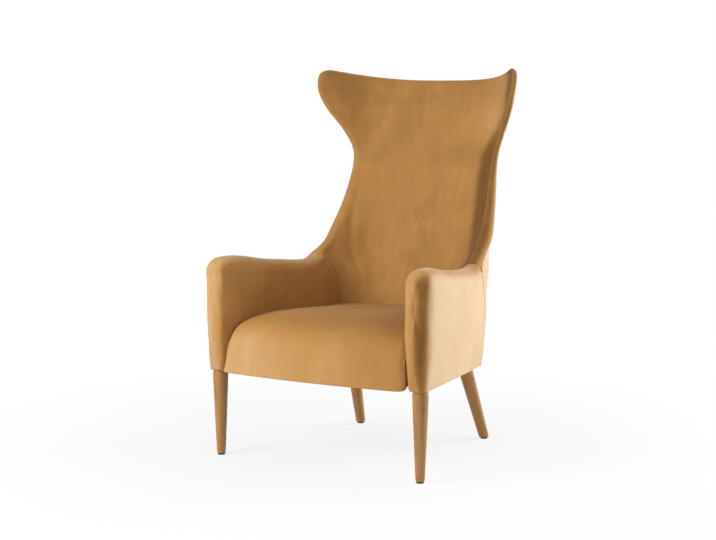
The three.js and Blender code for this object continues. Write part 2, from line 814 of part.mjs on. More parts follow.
function rearBlock() {
  const body = box(rearBlockInner, rearBlockOuter, rearBlockY, rearRailY - gap, railBottom, railTop - gap);
  const axis = rearLegAxis();
  const bore = rod(axis(railBottom - overrun), axis(rearNutHeight), boltRadius + gap);
  const nutSpace = rod(axis(rearNutHeight - gap), axis(rearNutHeight + blockSize), nutRadius + gap);
  return cut(body, bore, nutSpace);
}

function addSeatFrame(timber) {
  const half = sideRailX(frontRailY) - gap;
  const frontRail = box(-half, half, frontRailY - railThickness, frontRailY, railBottom, railTop);
  add('front_seat_rail', frontRail, timber);
  const rearEnd = rearRailY + rearRailThickness;
  add('rear_seat_rail', box(-rearRailHalf, rearRailHalf, rearRailY, rearEnd, railBottom, railTop), timber);
  addPair('side_seat_rail', sideRail(), timber);
  addPair('corner_block_front', frontBlock(), timber);
  addPair('corner_block_rear', rearBlock(), timber);
}

// Legs

function rearLegAxis() {
  const foot = point(rearFootX, rearFootY, 0);
  const head = point(rearHeadX, rearHeadY, bodyBottom);
  return (z) => foot.clone().lerp(head, z / bodyBottom);
}

const rearNutHeight = railBottom + boltLength - boltInLeg;
const frontNutHeight = bodyBottom + boltLength - boltInLeg;

function glideSolid(x, y) {
  const disc = rod(point(x, y, 0), point(x, y, glideHeight), glideRadius, glideRadius, legSides);
  const stem = rod(point(x, y, glideHeight / 2), point(x, y, glideHeight + glideStem), glideStemRadius);
  return join(disc, stem);
}

function stemHole(x, y) {
  return rod(point(x, y, 0), point(x, y, glideHeight + glideStem + gap), glideStemRadius + gap);
}

function frontLeg() {
  const mid = legFootRadius + (legTopRadius - legFootRadius) * bellyShare + bellyFullness;
  const top = bodyBottom - gap;
  const low = glideHeight + gap;
  const neck = frontLegTop + grooveHeight;
  const profile = [
    [0, low], [legFootRadius, low],
    [mid, low + (frontLegTop - low) * bellyShare], [legTopRadius, frontLegTop],
    [legTopRadius - grooveDepth, frontLegTop + grooveDepth / 2], [legTopRadius - grooveDepth, neck],
    [legTopRadius - grooveDepth, top], [0, top],
  ].map(([r, z]) => new THREE.Vector2(r, z));
  const body = new THREE.LatheGeometry(profile, legSides).rotateX(Math.PI / 2).scale(1, -1, 1);
  body.translate(legX, 0, 0);
  const [boreLow, boreHigh] = [bodyBottom - boltInLeg - gap, bodyBottom + overrun];
  const bore = rod(point(legX, 0, boreLow), point(legX, 0, boreHigh), boltRadius + gap);
  return cut(outward(merged(body)), stemHole(legX, 0), bore);
}

function rearLeg() {
  const axis = rearLegAxis();
  const over = rearLegFootRadius;
  const body = rod(axis(-over), axis(bodyBottom + over * 2), rearLegFootRadius, rearLegTopRadius, legSides);
  const wide = rearFootY * 2;
  const keep = box(-wide, wide, -wide, wide, glideHeight + gap, dustBottom - gap);
  const bore = rod(axis(railBottom - boltInLeg - gap), axis(railBottom + overrun), boltRadius + gap);
  const foot = axis(glideHeight);
  return cut(common(body, keep), stemHole(foot.x, foot.y), bore);
}

function addLegs(wood, grey) {
  addPair('front_leg', frontLeg(), wood);
  addPair('rear_leg', rearLeg(), wood);
  addPair('front_glide', glideSolid(legX, 0), grey);
  const foot = rearLegAxis()(glideHeight);
  addPair('rear_glide', glideSolid(foot.x, foot.y), grey);
}

function addLegFixings(metal) {
  const axis = rearLegAxis();
  const front = [point(legX, 0, bodyBottom - boltInLeg), point(legX, 0, frontNutHeight + nutThickness)];
  const rear = [axis(railBottom - boltInLeg), axis(rearNutHeight + nutThickness)];
  addPair('front_leg_bolt', rod(...front, boltRadius), metal);
  addPair('rear_leg_bolt', rod(...rear, boltRadius), metal);
  const bore = (from, to) => rod(...spread(from, to, overrun), boltRadius + gap);
  const ring = (from, to) => cut(rod(from, to, nutRadius), bore(from, to));
  addPair('front_leg_nut', ring(point(legX, 0, frontNutHeight), front[1]), metal);
  addPair('rear_leg_nut', ring(axis(rearNutHeight), rear[1]), metal);
}

// Two points moved apart along their own line
function spread(from, to, by) {
  const way = new THREE.Vector3().subVectors(to, from).normalize().multiplyScalar(by);
  return [from.clone().sub(way), to.clone().add(way)];
}

// Arm frame

function postTop() {
  return armHeight - armRailDrop - armRail / 2;
}

function armPost(grow = 0) {
  const post = rod(
    point(legX, 0, bodyBottom - (grow ? tail : 0)),
    point(legX, 0, postTop() + grow),
    postRadius + grow,
    postRadius + grow,
    postSides,
  );
  if (grow) return post;
  const [boreLow, boreHigh] = [bodyBottom - overrun, bodyBottom + boltLength];
  const bore = rod(point(legX, 0, boreLow), point(legX, 0, boreHigh), boltRadius + gap);
  const nut = rod(
    point(legX, 0, frontNutHeight - gap),
    point(legX, 0, frontNutHeight + nutThickness + gap),
    nutRadius + gap,
  );
  return cut(post, bore, nut);
}

// A straight rail of square section between two depths of the arm, with its centre height given at each end
function armBar(y0, z0, y1, z1, width, height, grow) {
  const ring = (y, z) => [[-1, -1], [1, -1], [1, 1], [-1, 1]].map(([a, b]) => point(
    armCentre(y) + a * (width / 2 + grow),
    y,
    z + b * (height / 2 + grow),
  ));
  return loft([ring(y0 - grow, z0), ring(y1 + grow, z1)], ['x', 'z']);
}

const barFront = postRadius + gap;
const barRear = outerSeamY - outerSeamRise - barRearGap;
const topBarRear = barRear - armRail / 4;

function armTopRail(grow = 0) {
  const [frontZ, rearZ] = [armTop(barFront) - armRailDrop, armTop(topBarRear) - armRailDrop];
  return armBar(barFront, frontZ, topBarRear, rearZ, armRail, armRail, grow);
}

function armBottomRail(grow = 0) {
  const low = railBottom + armRail / 2;
  return armBar(barFront, low, rearPostY + armRail / 2, low, armRail, armRail, grow);
}

function rearPost(grow = 0) {
  const top = armTop(rearPostY) - armRailDrop - armRail / 2 - armRail * armRailSlope() - gap;
  const [low, high] = [railBottom + armRail + gap, top];
  const x = armCentre(rearPostY);
  const [w, d] = [armRail / 2, armRail / 2];
  const ends = grow ? armRail / 2 : 0;
  return box(x - w - grow, x + w + grow, rearPostY - d - grow, rearPostY + d + grow, low - ends, high + ends);
}

function armRailSlope() {
  return Math.abs(armTop(topBarRear) - armTop(barFront)) / (topBarRear - barFront);
}

// Webbing and dust cover

const strapBottom = railTop + gap;
const strapTop = strapBottom + strapThickness;
const crossBottom = strapTop + gap;
const longStrapCentres = [-2, -1, 0, 1, 2].map((place) => place * longStrapPitch);
const crossStrapStarts = [0, 1, 2].map((place) => crossStrapFirstY + place * crossStrapPitch);
const dustTop = railBottom - gap;
const dustBottom = dustTop - dustCover;

function crossEnd(y) {
  return sideRailX(y + strapWidth) - strapEndInset;
}

// The dust cover's outline on the right half, from the front middle round to the rear middle
function dustCoverSolid() {
  const [y0, y1] = [frontRailY - railThickness, rearRailY + rearRailThickness];
  const right = [
    [0, y0], [sideRailX(0), y0], [sideRailX(rearBlockY), rearBlockY - overrun], [rearBlockOuter, rearBlockY],
    [rearBlockOuter, rearRailY - gap], [rearRailHalf - overrun, y1], [0, y1],
  ];
  const left = right.slice(1, -1).reverse().map(([x, y]) => [-x, y]);
  return prism([...right, ...left], dustBottom, dustTop);
}

function addWebbing(web, felt) {
  const y0 = frontRailY - railThickness + strapEndInset;
  const y1 = rearRailY + rearRailThickness - strapEndInset;
  longStrapCentres.forEach((x, i) => {
    const strap = box(x - strapWidth / 2, x + strapWidth / 2, y0, y1, strapBottom, strapTop);
    add(`seat_strap_long_${i + 1}`, strap, web);
  });
  crossStrapStarts.forEach((y, i) => {
    const [half, top] = [crossEnd(y), crossBottom + strapThickness];
    add(`seat_strap_cross_${i + 1}`, box(-half, half, y, y + strapWidth, crossBottom, top), web);
  });
  const axis = rearLegAxis();
  const through = rod(axis(dustBottom - overrun), axis(dustTop + overrun), boltRadius + gap);
  add('dust_cover', cut(dustCoverSolid(), through, mirrored(through)), felt);
}

const timber = material(beech, 0.75);
const wood = material(oak, 0.5);
const metal = material(zinc, 0.35, 1);
const cloth = material(velvet, 0.9);
const paleCloth = material(velvetPale, 0.9);
const foam = material(foamYellow, 0.95);
const web = material(webBlack, 0.9);
const felt = material(feltBlack, 0.95);
const board = material(boardBrown, 0.85);
const grey = material(glideGrey, 0.6);

// Arms
const blocked = [armPost(postFit), armTopRail(gap), armBottomRail(gap), rearPost(gap)];
const backCut = backVolume(armSeamGap);
const armBlank = armSolid(armPadInset, armPadBottom);
addPair('arm_pad', cutWhole(armBlank, ...blocked, backCut), foam);
const armHollow = armSolid(fabric, bodyBottom, tail);
const armCover = cutWhole(armSolid(0, bodyBottom), armHollow, backCut, armPost(gap));
addPair('arm_cover', armCover, paleCloth);
addPair('arm_front_post', armPost(), timber);
addPair('arm_top_rail', armTopRail(), timber);
addPair('arm_bottom_rail', armBottomRail(), timber);
addPair('arm_rear_post', rearPost(), timber);

// Back
add('outside_back_cover', outsideBackCover(), cloth);
const boardFront = () => boardDepth + boardThickness;
add('outer_back_board', backLayer(layerColumns, layerRows, boardFront, () => boardDepth), board);
addPair('back_stile', backStile(), timber);
add('back_bottom_rail', backRail(bottomRailRow), timber);
add('back_lumbar_rail', backRail(lumbarRailRow), timber);
add('back_top_rail', backRail(topRailRow), timber);
backStrapRows.forEach((row, i) => add(`back_strap_${i + 1}`, backStrap(row), web));
const padFace = (c, r) => faceDepth(c, r) - fabric - layerGap;
add('back_foam', backLayer(layerColumns, padRows, padFace, foamDepth), foam);
const underCover = (c, r) => faceDepth(c, r) - fabric;
add('inside_back_cover', backLayer(layerColumns, padRows, faceDepth, underCover), cloth);

// Seat
addSeatFrame(timber);
const railFront = frontRailY - railThickness;
add('seat_foam', seatSolid(fabric + gap, 0, platformHeight, railFront - layerGap, overrun), foam);
const seatOuter = seatSolid(0, 0, platformHeight, railFront - gap);
const seatHollow = seatSolid(fabric, overrun, platformHeight - overrun, frontRailY);
add('seat_cover', cut(seatOuter, seatHollow), cloth);

// Legs
addLegs(wood, grey);
addLegFixings(metal);
addWebbing(web, felt);

const size = new THREE.Box3().setFromObject(chair);
const middle = size.getCenter(new THREE.Vector3());
chair.position.set(-middle.x, -middle.y, -size.min.z);

export default chair;
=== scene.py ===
# %% [markdown]
# # A fireside chair in camel velvet
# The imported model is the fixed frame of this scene: its timber, webbing and fixings stay where they are and
# get finishes, and its plain covers are replaced by modelled upholstery. Everything is in metres in the
# model's own frame, so no piece has to be fitted by eye.

# %% Load the frame and the tools
import math

import bmesh
import bpy
from mathutils import Matrix, Vector


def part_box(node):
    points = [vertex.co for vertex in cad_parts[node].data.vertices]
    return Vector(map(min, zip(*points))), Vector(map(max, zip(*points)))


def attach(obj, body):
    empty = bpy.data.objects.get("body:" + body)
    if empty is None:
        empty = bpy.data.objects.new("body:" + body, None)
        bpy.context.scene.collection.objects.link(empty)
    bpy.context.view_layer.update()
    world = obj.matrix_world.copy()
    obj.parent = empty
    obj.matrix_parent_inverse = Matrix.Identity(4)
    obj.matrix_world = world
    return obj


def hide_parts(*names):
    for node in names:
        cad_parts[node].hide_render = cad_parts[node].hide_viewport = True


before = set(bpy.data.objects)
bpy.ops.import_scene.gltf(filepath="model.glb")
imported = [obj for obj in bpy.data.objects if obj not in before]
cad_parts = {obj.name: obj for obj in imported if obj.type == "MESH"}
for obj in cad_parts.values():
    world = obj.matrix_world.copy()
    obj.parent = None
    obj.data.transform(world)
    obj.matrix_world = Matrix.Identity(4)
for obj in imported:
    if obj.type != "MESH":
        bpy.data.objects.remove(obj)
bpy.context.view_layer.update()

# %% [markdown]
# ## Camera
# The chair was photographed from its right front, a little above the seat, with a long lens. The camera
# could be placed by eye, but its place was worked out from the feet, the arm tops and the level body edge,
# so it is written here as numbers. The lamps below are put in place and turned by the same two helpers.

# %% Helpers for objects
def placed(name, data):
    """A new object in the scene."""
    made = bpy.data.objects.new(name, data)
    bpy.context.scene.collection.objects.link(made)
    return made


def aimed(made, place, way):
    """Puts a camera or a lamp at a place, looking along a way."""
    made.location = place
    made.rotation_mode = "QUATERNION"
    made.rotation_quaternion = way.to_track_quat("-Z", "Y")
    return made


print("object helpers ready")

# %% The camera
CAMERA_PLACE = Vector((2.4003, -4.0404, 1.0427))
CAMERA_YAW, CAMERA_DIP = math.radians(31.5875), math.radians(6.2975)
LENS, SENSOR_WIDTH = 80.54, 36

camera_data = bpy.data.cameras.new("camera")
camera_data.lens, camera_data.sensor_width = LENS, SENSOR_WIDTH
looking = Vector((
    -math.sin(CAMERA_YAW) * math.cos(CAMERA_DIP),
    math.cos(CAMERA_YAW) * math.cos(CAMERA_DIP),
    -math.sin(CAMERA_DIP),
))
bpy.context.scene.camera = aimed(placed("camera", camera_data), CAMERA_PLACE, looking)
bpy.context.scene.view_settings.view_transform = "Standard"
print("camera at", [round(v, 3) for v in CAMERA_PLACE])

# %% [markdown]
# ## Light, floor and background
# The photograph has one large soft light at the front left. A second one stands behind the chair on the
# right: it grazes the outer arm, which looks almost white, and leaves the nose of the arm dark between the
# two. Area lamps make such soft light. The background is white only for the camera and for reflections, so
# that it adds no light to the chair.

# %% Lamps
def lamp(name, place, aim, width, height, power):
    """A soft rectangular lamp at a place, turned to a point."""
    data = bpy.data.lights.new(name, "AREA")
    data.shape = "RECTANGLE"
    data.size, data.size_y = width, height
    data.energy = power
    return aimed(placed(name, data), place, Vector(aim) - Vector(place))


lamps = [
    lamp("front_left_lamp", (-1.24, -2.65, 1.85), (0, 0, 0.55), 1.6, 1.6, 78),
    lamp("rear_right_lamp", (2.1, 2.4, 1.35), (0.1, 0, 0.5), 1.5, 1.8, 94),
    lamp("high_right_lamp", (2.2, 0.4, 2.8), (0, 0, 0.5), 1.8, 1.8, 20),
]
print("lamps:", [made.name for made in lamps])

# %% [markdown]
# ### Shader nodes from functions
# The world, the floor and every finish are made of shader nodes. They could be wired by hand in the editor,
# but written as functions their values can be read and changed. Each helper adds what it names to a tree,
# and most of them give back the socket that comes out.

# %% Helpers for shader nodes
def feed(tree, node, inputs):
    """Feeds a node's inputs by name or number. Each is a socket to link from, or a value."""
    for title, term in inputs.items():
        if isinstance(term, bpy.types.NodeSocket):
            tree.links.new(term, node.inputs[title])
        else:
            node.inputs[title].default_value = term


def new_node(tree, kind, inputs=None, **settings):
    """A new node with its settings and its inputs fed."""
    node = tree.nodes.new(kind)
    for title, value in settings.items():
        setattr(node, title, value)
    feed(tree, node, inputs or {})
    return node


def ranged(tree, value, low, high, to_low, to_high, smooth=False):
    """A value mapped from one range to another."""
    inputs = {"Value": value, "From Min": low, "From Max": high, "To Min": to_low, "To Max": to_high}
    kind = "SMOOTHSTEP" if smooth else "LINEAR"
    return new_node(tree, "ShaderNodeMapRange", inputs, interpolation_type=kind).outputs["Result"]


def worked(tree, operation, *terms):
    """A Math node over values, each a socket or a number."""
    return new_node(tree, "ShaderNodeMath", dict(enumerate(terms)), operation=operation).outputs[0]


def background_rays(tree):
    """1 for the rays that should find a white background: camera, glossy and transmission rays."""
    path = new_node(tree, "ShaderNodeLightPath").outputs
    either = worked(tree, "MAXIMUM", path["Is Camera Ray"], path["Is Glossy Ray"])
    return worked(tree, "MAXIMUM", either, path["Is Transmission Ray"])


WHITE = (1, 1, 1, 1)
print("shader helpers ready")

# %% World
ROOM_LIGHT, ROOM_TINT = 0.28, (0.97, 0.98, 1, 1)

world = bpy.data.worlds.new("studio")
bpy.context.scene.world = world
world.use_nodes = True
tree = world.node_tree
tree.nodes.clear()
room_light = new_node(tree, "ShaderNodeBackground", {"Color": ROOM_TINT, "Strength": ROOM_LIGHT}).outputs[0]
seen_light = new_node(tree, "ShaderNodeBackground", {"Color": WHITE, "Strength": 1}).outputs[0]
pick = new_node(tree, "ShaderNodeMixShader", {0: background_rays(tree), 1: room_light, 2: seen_light})
new_node(tree, "ShaderNodeOutputWorld", {"Surface": pick.outputs[0]})
print("world light", ROOM_LIGHT)

# %% Floor
FLOOR_HALF, FLOOR_DROP = 9.0, 0.0005

floor_bm = bmesh.new()
bmesh.ops.create_grid(floor_bm, x_segments=2, y_segments=2, size=FLOOR_HALF)
bmesh.ops.translate(floor_bm, verts=floor_bm.verts, vec=(0, 0, -FLOOR_DROP))
floor_mesh = bpy.data.meshes.new("floor")
floor_bm.to_mesh(floor_mesh)
floor_bm.free()
floor = placed("floor", floor_mesh)
print("floor", 2 * FLOOR_HALF, "m square")

# %% [markdown]
# The floor keeps the chair's shadow only near the chair. Further out the camera sees plain white, so that
# the floor fades into the background without an edge.

# %% The floor's finish
FLOOR_TONE = 0.86
SHADOW_NEAR, SHADOW_REACH = 0.35, 1.6
WHITE_NEAR = 0.8

floor_finish = bpy.data.materials.new("white_floor")
floor_finish.use_nodes = True
tree = floor_finish.node_tree
tree.nodes.clear()
matt = new_node(tree, "ShaderNodeBsdfDiffuse", {"Color": (FLOOR_TONE, FLOOR_TONE, FLOOR_TONE, 1)}).outputs[0]
plain_white = new_node(tree, "ShaderNodeEmission", {"Color": WHITE, "Strength": 1}).outputs[0]
place = new_node(tree, "ShaderNodeTexCoord").outputs["Object"]
reach = new_node(tree, "ShaderNodeVectorMath", {0: place}, operation="LENGTH").outputs["Value"]
fade = ranged(tree, reach, SHADOW_NEAR, SHADOW_REACH, WHITE_NEAR, 1, smooth=True)
white_share = worked(tree, "MULTIPLY", fade, background_rays(tree))
blend = new_node(tree, "ShaderNodeMixShader", {0: white_share, 1: matt, 2: plain_white})
new_node(tree, "ShaderNodeOutputMaterial", {"Surface": blend.outputs[0]})
floor_mesh.materials.append(floor_finish)
print("the shadow fades out", SHADOW_REACH, "m from the middle")

# %% [markdown]
# ## Finishes
# Each finish is made of shader nodes. An effect that several finishes share is a node group with named
# inputs: it puts out colours, values and normals, and the Principled shader itself stays in each material.

# %% Helpers for shader groups
def plain_colour(red, green, blue):
    """A colour given as 0 to 255, as the linear values that shaders use."""
    def linear(level):
        share = level / 255
        return share / 12.92 if share <= 0.04045 else ((share + 0.055) / 1.055) ** 2.4
    return (linear(red), linear(green), linear(blue), 1)


def new_group(name, inputs, outputs):
    """An empty shader group with its sockets. Each input is (name, kind, value)."""
    group = bpy.data.node_groups.new(name, "ShaderNodeTree")
    for title, kind, value in inputs:
        socket = group.interface.new_socket(name=title, in_out="INPUT", socket_type="NodeSocket" + kind)
        if value is not None:
            socket.default_value = value
    for title, kind in outputs:
        group.interface.new_socket(name=title, in_out="OUTPUT", socket_type="NodeSocket" + kind)
    return group, group.nodes.new("NodeGroupInput"), group.nodes.new("NodeGroupOutput")


print("group helpers ready")


# %% Helpers for patterns
def noise_in(group, vector, scale, detail=3.0, roughness=0.55, distortion=0.0):
    """A noise texture inside a group, read at a vector."""
    inputs = {
        "Vector": vector, "Scale": scale, "Detail": detail, "Roughness": roughness, "Distortion": distortion,
    }
    return new_node(group, "ShaderNodeTexNoise", inputs).outputs["Fac"]


def stretched(group, vector, scale):
    """The vector scaled by three factors."""
    return new_node(group, "ShaderNodeMapping", {"Vector": vector, "Scale": scale}).outputs["Vector"]


def mixed(group, share, first, second):
    """A colour between two colours, each a socket or four numbers."""
    return new_node(group, "ShaderNodeMix", {0: share, 6: first, 7: second}, data_type="RGBA").outputs[2]


print("pattern helpers ready")

# %% [markdown]
# ### Velvet
# Velvet has a short cut pile. Where the pile leans away from the eye the cloth looks pale, and where it
# leans towards the eye it looks deep. Here the tones are mostly light and shade painted into the colour: a
# vertex attribute holds them, from -2, the deepest painted shade, to 1, a pale painted highlight. Broad
# cloudy patches, upright strokes from the hand and fine crosswise lines of the ground weave are added to it.
# Its edges glow because the pile ends catch the light: that is the Principled shader's sheen. A second
# attribute, named seam, says where the pile is puckered beside a seam and paints a faint highlight along it.

# %% The pile as a group
pile, pile_in, pile_out = new_group(
    "velvet_pile",
    [("Vector", "Vector", None), ("Colour", "Color", (0.5, 0.25, 0.08, 1)),
     ("Pale", "Color", (0.7, 0.5, 0.3, 1)), ("Deep", "Color", (0.3, 0.1, 0.03, 1)),
     ("Seam", "Float", 0.0), ("Painted Shading", "Float", 0.0), ("Brushing", "Float", 1.0)],
    [("Colour", "Color"), ("Height", "Float"), ("Roughness", "Float")],
)
where = pile_in.outputs["Vector"]
clouds = ranged(pile, noise_in(pile, where, 6.5, 3, 0.5, 0.7), 0.3, 0.7, -0.13, 0.13, smooth=True)
strokes = ranged(pile, noise_in(pile, stretched(pile, where, (42, 42, 5)), 1.0, 3, 0.6), 0.3, 0.7, -0.09, 0.09)
lines = ranged(pile, noise_in(pile, stretched(pile, where, (22, 22, 420)), 1.0, 2, 0.6), 0.3, 0.7, -0.05, 0.05)
tooth = noise_in(pile, where, 1500, 2, 0.6)
marks = worked(pile, "ADD", clouds, worked(pile, "ADD", strokes, lines))
brushing = worked(pile, "MULTIPLY", marks, pile_in.outputs["Brushing"])
# Painted light and shade: the attribute's value lightens the cloth towards the pale tone as a painted highlight
# and darkens it towards the deep tone as painted shade.
marks_and_painted_shading = worked(pile, "ADD", brushing, pile_in.outputs["Painted Shading"])
paled = mixed(pile, ranged(pile, marks_and_painted_shading, 0, 1, 0, 1), pile_in.outputs["Colour"], pile_in.outputs["Pale"])
deepened = mixed(pile, ranged(pile, marks_and_painted_shading, -1, 0, 1, 0), paled, pile_in.outputs["Deep"])
# Below -1 the painted shade goes on towards an almost black brown, the deepest painted shade.
DEEPEST_PAINTED_SHADE = (0.09, 0.036, 0.008, 1)
with_deepest_painted_shade = mixed(pile, ranged(pile, marks_and_painted_shading, -2, -1, 0.9, 0), deepened, DEEPEST_PAINTED_SHADE)
toothed = mixed(pile, ranged(pile, tooth, 0.3, 0.7, 0.0, 0.2), with_deepest_painted_shade, pile_in.outputs["Deep"])
# Painted highlight: beside a seam the colour goes up to a fifth of the way to the pale tone.
painted_seam_highlight = worked(pile, "MULTIPLY", pile_in.outputs["Seam"], 0.2)
seam_highlighted = mixed(pile, painted_seam_highlight, toothed, pile_in.outputs["Pale"])
puckers = noise_in(pile, stretched(pile, where, (90, 90, 90)), 1.0, 2, 0.5)
pucker_height = worked(pile, "MULTIPLY", worked(pile, "MULTIPLY", puckers, pile_in.outputs["Seam"]), 0.7)
soft_height = worked(pile, "MULTIPLY", noise_in(pile, where, 16, 3, 0.5), 0.5)
fine_height = worked(pile, "MULTIPLY", tooth, 0.16)
height = worked(pile, "ADD", fine_height, worked(pile, "ADD", pucker_height, soft_height))
pile_roughness = ranged(pile, clouds, -0.2, 0.2, 0.8, 0.68)
feed(pile, pile_out, {"Colour": seam_highlighted, "Height": height, "Roughness": pile_roughness})
print("velvet group:", len(pile.nodes), "nodes")


# %% Principled materials
def finish(name, group, values, roughness, relief, metallic=0.0, turn=None):
    """A Principled material whose colour and bumps come from a group on object coordinates.

    The relief is the bumps' strength and their depth in metres. A turn lays the pattern another way.
    """
    made = bpy.data.materials.new(name)
    made.use_nodes = True
    tree = made.node_tree
    where = new_node(tree, "ShaderNodeTexCoord").outputs["Object"]
    if turn:
        angles = [math.radians(angle) for angle in turn]
        where = new_node(tree, "ShaderNodeMapping", {"Vector": where, "Rotation": angles}).outputs["Vector"]
    pattern = new_node(tree, "ShaderNodeGroup", {"Vector": where, **values}, node_tree=group)
    heights = {"Strength": relief[0], "Distance": relief[1], "Height": pattern.outputs["Height"]}
    bump = new_node(tree, "ShaderNodeBump", heights)
    shader = tree.nodes["Principled BSDF"]
    feed(tree, shader, {"Roughness": roughness, "Metallic": metallic})
    feed(tree, shader, {"Base Color": pattern.outputs["Colour"], "Normal": bump.outputs["Normal"]})
    return made, tree, pattern, shader


print("a finish has one Principled shader, fed by a group")


# %% Camel velvet
VELVET_RELIEF, SHEEN_TINT = (0.6, 0.0007), (1.0, 0.92, 0.82, 1)


def velvet(name, colour, pale, deep, sheen, brushing=1.0):
    """Velvet in one cloth's three tones."""
    tones = {"Colour": colour, "Pale": pale, "Deep": deep, "Brushing": brushing}
    made, tree, pattern, shader = finish(name, pile, tones, 0.75, VELVET_RELIEF)
    for title, attribute in (("Seam", "seam"), ("Painted Shading", "nap")):
        reading = new_node(tree, "ShaderNodeAttribute", attribute_name=attribute)
        feed(tree, pattern, {title: reading.outputs["Fac"]})
    feed(tree, shader, {
        "Roughness": pattern.outputs["Roughness"], "Specular IOR Level": 0.12,
        "Sheen Weight": sheen, "Sheen Roughness": 0.42, "Sheen Tint": SHEEN_TINT,
    })
    return made


# The pale tone serves mostly as painted highlight and the deep tone mostly as painted shade.
VELVET_TONES = plain_colour(194, 143, 80), plain_colour(227, 197, 157), plain_colour(130, 88, 40)
camel_velvet = velvet("camel_velvet", *VELVET_TONES, sheen=0.28)
print("made", camel_velvet.name)

# %% [markdown]
# The seat is the same cloth, but sitting has pressed its pile flat, so it has much less sheen than the rest
# and fainter marks.

# %% The pressed seat
seat_cloth = velvet("seat_cloth", *VELVET_TONES, sheen=0.06, brushing=0.6)
print("made", seat_cloth.name)

# %% [markdown]
# ### Timber
# The legs are oiled oak: long fibres, slightly darker bands, and short open pores. The frame inside is plain
# beech, which has the same structure with finer flecks. One group makes both, with its grain along z, and
# each timber is turned so that the grain follows the length of its piece, as it does where a board is sawn.

# %% The grain as a group
grain, grain_in, grain_out = new_group(
    "timber_grain",
    [("Vector", "Vector", None), ("Light", "Color", (0.5, 0.3, 0.15, 1)),
     ("Dark", "Color", (0.3, 0.16, 0.07, 1)), ("Pores", "Float", 1.0)],
    [("Colour", "Color"), ("Height", "Float"), ("Roughness", "Float")],
)
where = grain_in.outputs["Vector"]
ring_noise = noise_in(grain, stretched(grain, where, (70, 70, 2.4)), 1.0, 3, 0.5, 0.7)
rings = ranged(grain, ring_noise, 0.32, 0.68, 0, 1)
fibres = ranged(grain, noise_in(grain, stretched(grain, where, (520, 520, 9)), 1.0, 3, 0.6), 0.3, 0.7, 0, 1)
pores = ranged(grain, noise_in(grain, stretched(grain, where, (900, 900, 42)), 1.0, 1, 0.5), 0.6, 0.7, 0, 1)
open_pores = worked(grain, "MULTIPLY", pores, grain_in.outputs["Pores"])
ring_dark, fibre_dark = worked(grain, "MULTIPLY", rings, 0.55), worked(grain, "MULTIPLY", fibres, 0.4)
dark_share = worked(grain, "ADD", ring_dark, fibre_dark)
sawn = mixed(grain, dark_share, grain_in.outputs["Light"], grain_in.outputs["Dark"])
pored = mixed(grain, worked(grain, "MULTIPLY", open_pores, 0.5), sawn, (0.05, 0.025, 0.01, 1))
grain_height = worked(grain, "SUBTRACT", worked(grain, "MULTIPLY", fibres, 0.35), open_pores)
grain_roughness = ranged(grain, fibres, 0, 1, 0.36, 0.5)
feed(grain, grain_out, {"Colour": pored, "Height": grain_height, "Roughness": grain_roughness})
print("timber group:", len(grain.nodes), "nodes")


# %% Timbers
def timber(name, light, dark, pores, turn=None):
    """Wood with its grain along z, or along another way where it is turned."""
    tones = {"Light": light, "Dark": dark, "Pores": pores}
    made, tree, pattern, shader = finish(name, grain, tones, 0.45, (0.35, 0.0003), turn=turn)
    feed(tree, shader, {"Roughness": pattern.outputs["Roughness"], "Specular IOR Level": 0.35})
    return made


OAK_LIGHT, OAK_DARK = plain_colour(196, 146, 88), plain_colour(144, 96, 48)
BEECH_LIGHT, BEECH_DARK = plain_colour(222, 190, 150), plain_colour(188, 148, 108)
leg_oak = timber("leg_oak", OAK_LIGHT, OAK_DARK, 0.8)
leaning_oak = timber("leaning_oak", OAK_LIGHT, OAK_DARK, 0.8, turn=(-21, 0, 0))
beech_up = timber("beech_up", BEECH_LIGHT, BEECH_DARK, 0.35)
beech_across = timber("beech_across", BEECH_LIGHT, BEECH_DARK, 0.35, turn=(0, -90, 0))
beech_along = timber("beech_along", BEECH_LIGHT, BEECH_DARK, 0.35, turn=(90, 0, 0))
print("timbers made")

# %% [markdown]
# ### Flecked finishes
# Hardboard, the felted cloth under the seat, zinc plate and the glides' moulded plastic all carry a fine
# random fleck, each at its own size. They share one group.

# %% The fleck as a group
fleck, fleck_in, fleck_out = new_group(
    "fleck",
    [("Vector", "Vector", None), ("Base", "Color", (0.1, 0.1, 0.1, 1)),
     ("Fleck", "Color", (0.2, 0.2, 0.2, 1)), ("Size", "Float", 1.0)],
    [("Colour", "Color"), ("Height", "Float"), ("Mask", "Float")],
)
where, size = fleck_in.outputs["Vector"], fleck_in.outputs["Size"]
sized = new_node(fleck, "ShaderNodeVectorMath", {0: where, 1: size}, operation="DIVIDE").outputs[0]
fine = noise_in(fleck, sized, 1.0, 4, 0.7)
broad = noise_in(fleck, sized, 0.07, 2, 0.5)
spots = worked(fleck, "ADD", worked(fleck, "MULTIPLY", fine, 0.7), worked(fleck, "MULTIPLY", broad, 0.3))
mask = ranged(fleck, spots, 0.38, 0.62, 0, 1)
flecked_colour = mixed(fleck, mask, fleck_in.outputs["Base"], fleck_in.outputs["Fleck"])
feed(fleck, fleck_out, {"Colour": flecked_colour, "Height": fine, "Mask": mask})
print("fleck group:", len(fleck.nodes), "nodes")


# %% Flecked materials
def flecked(name, base, spot, size, low, high, metallic=0.0, depth=0.0002):
    """A finish with flecks of a size in metres, whose roughness runs between two values."""
    tones = {"Base": base, "Fleck": spot, "Size": size}
    made, tree, pattern, shader = finish(name, fleck, tones, high, (0.5, depth), metallic)
    feed(tree, shader, {"Roughness": ranged(tree, pattern.outputs["Mask"], 0, 1, low, high)})
    return made


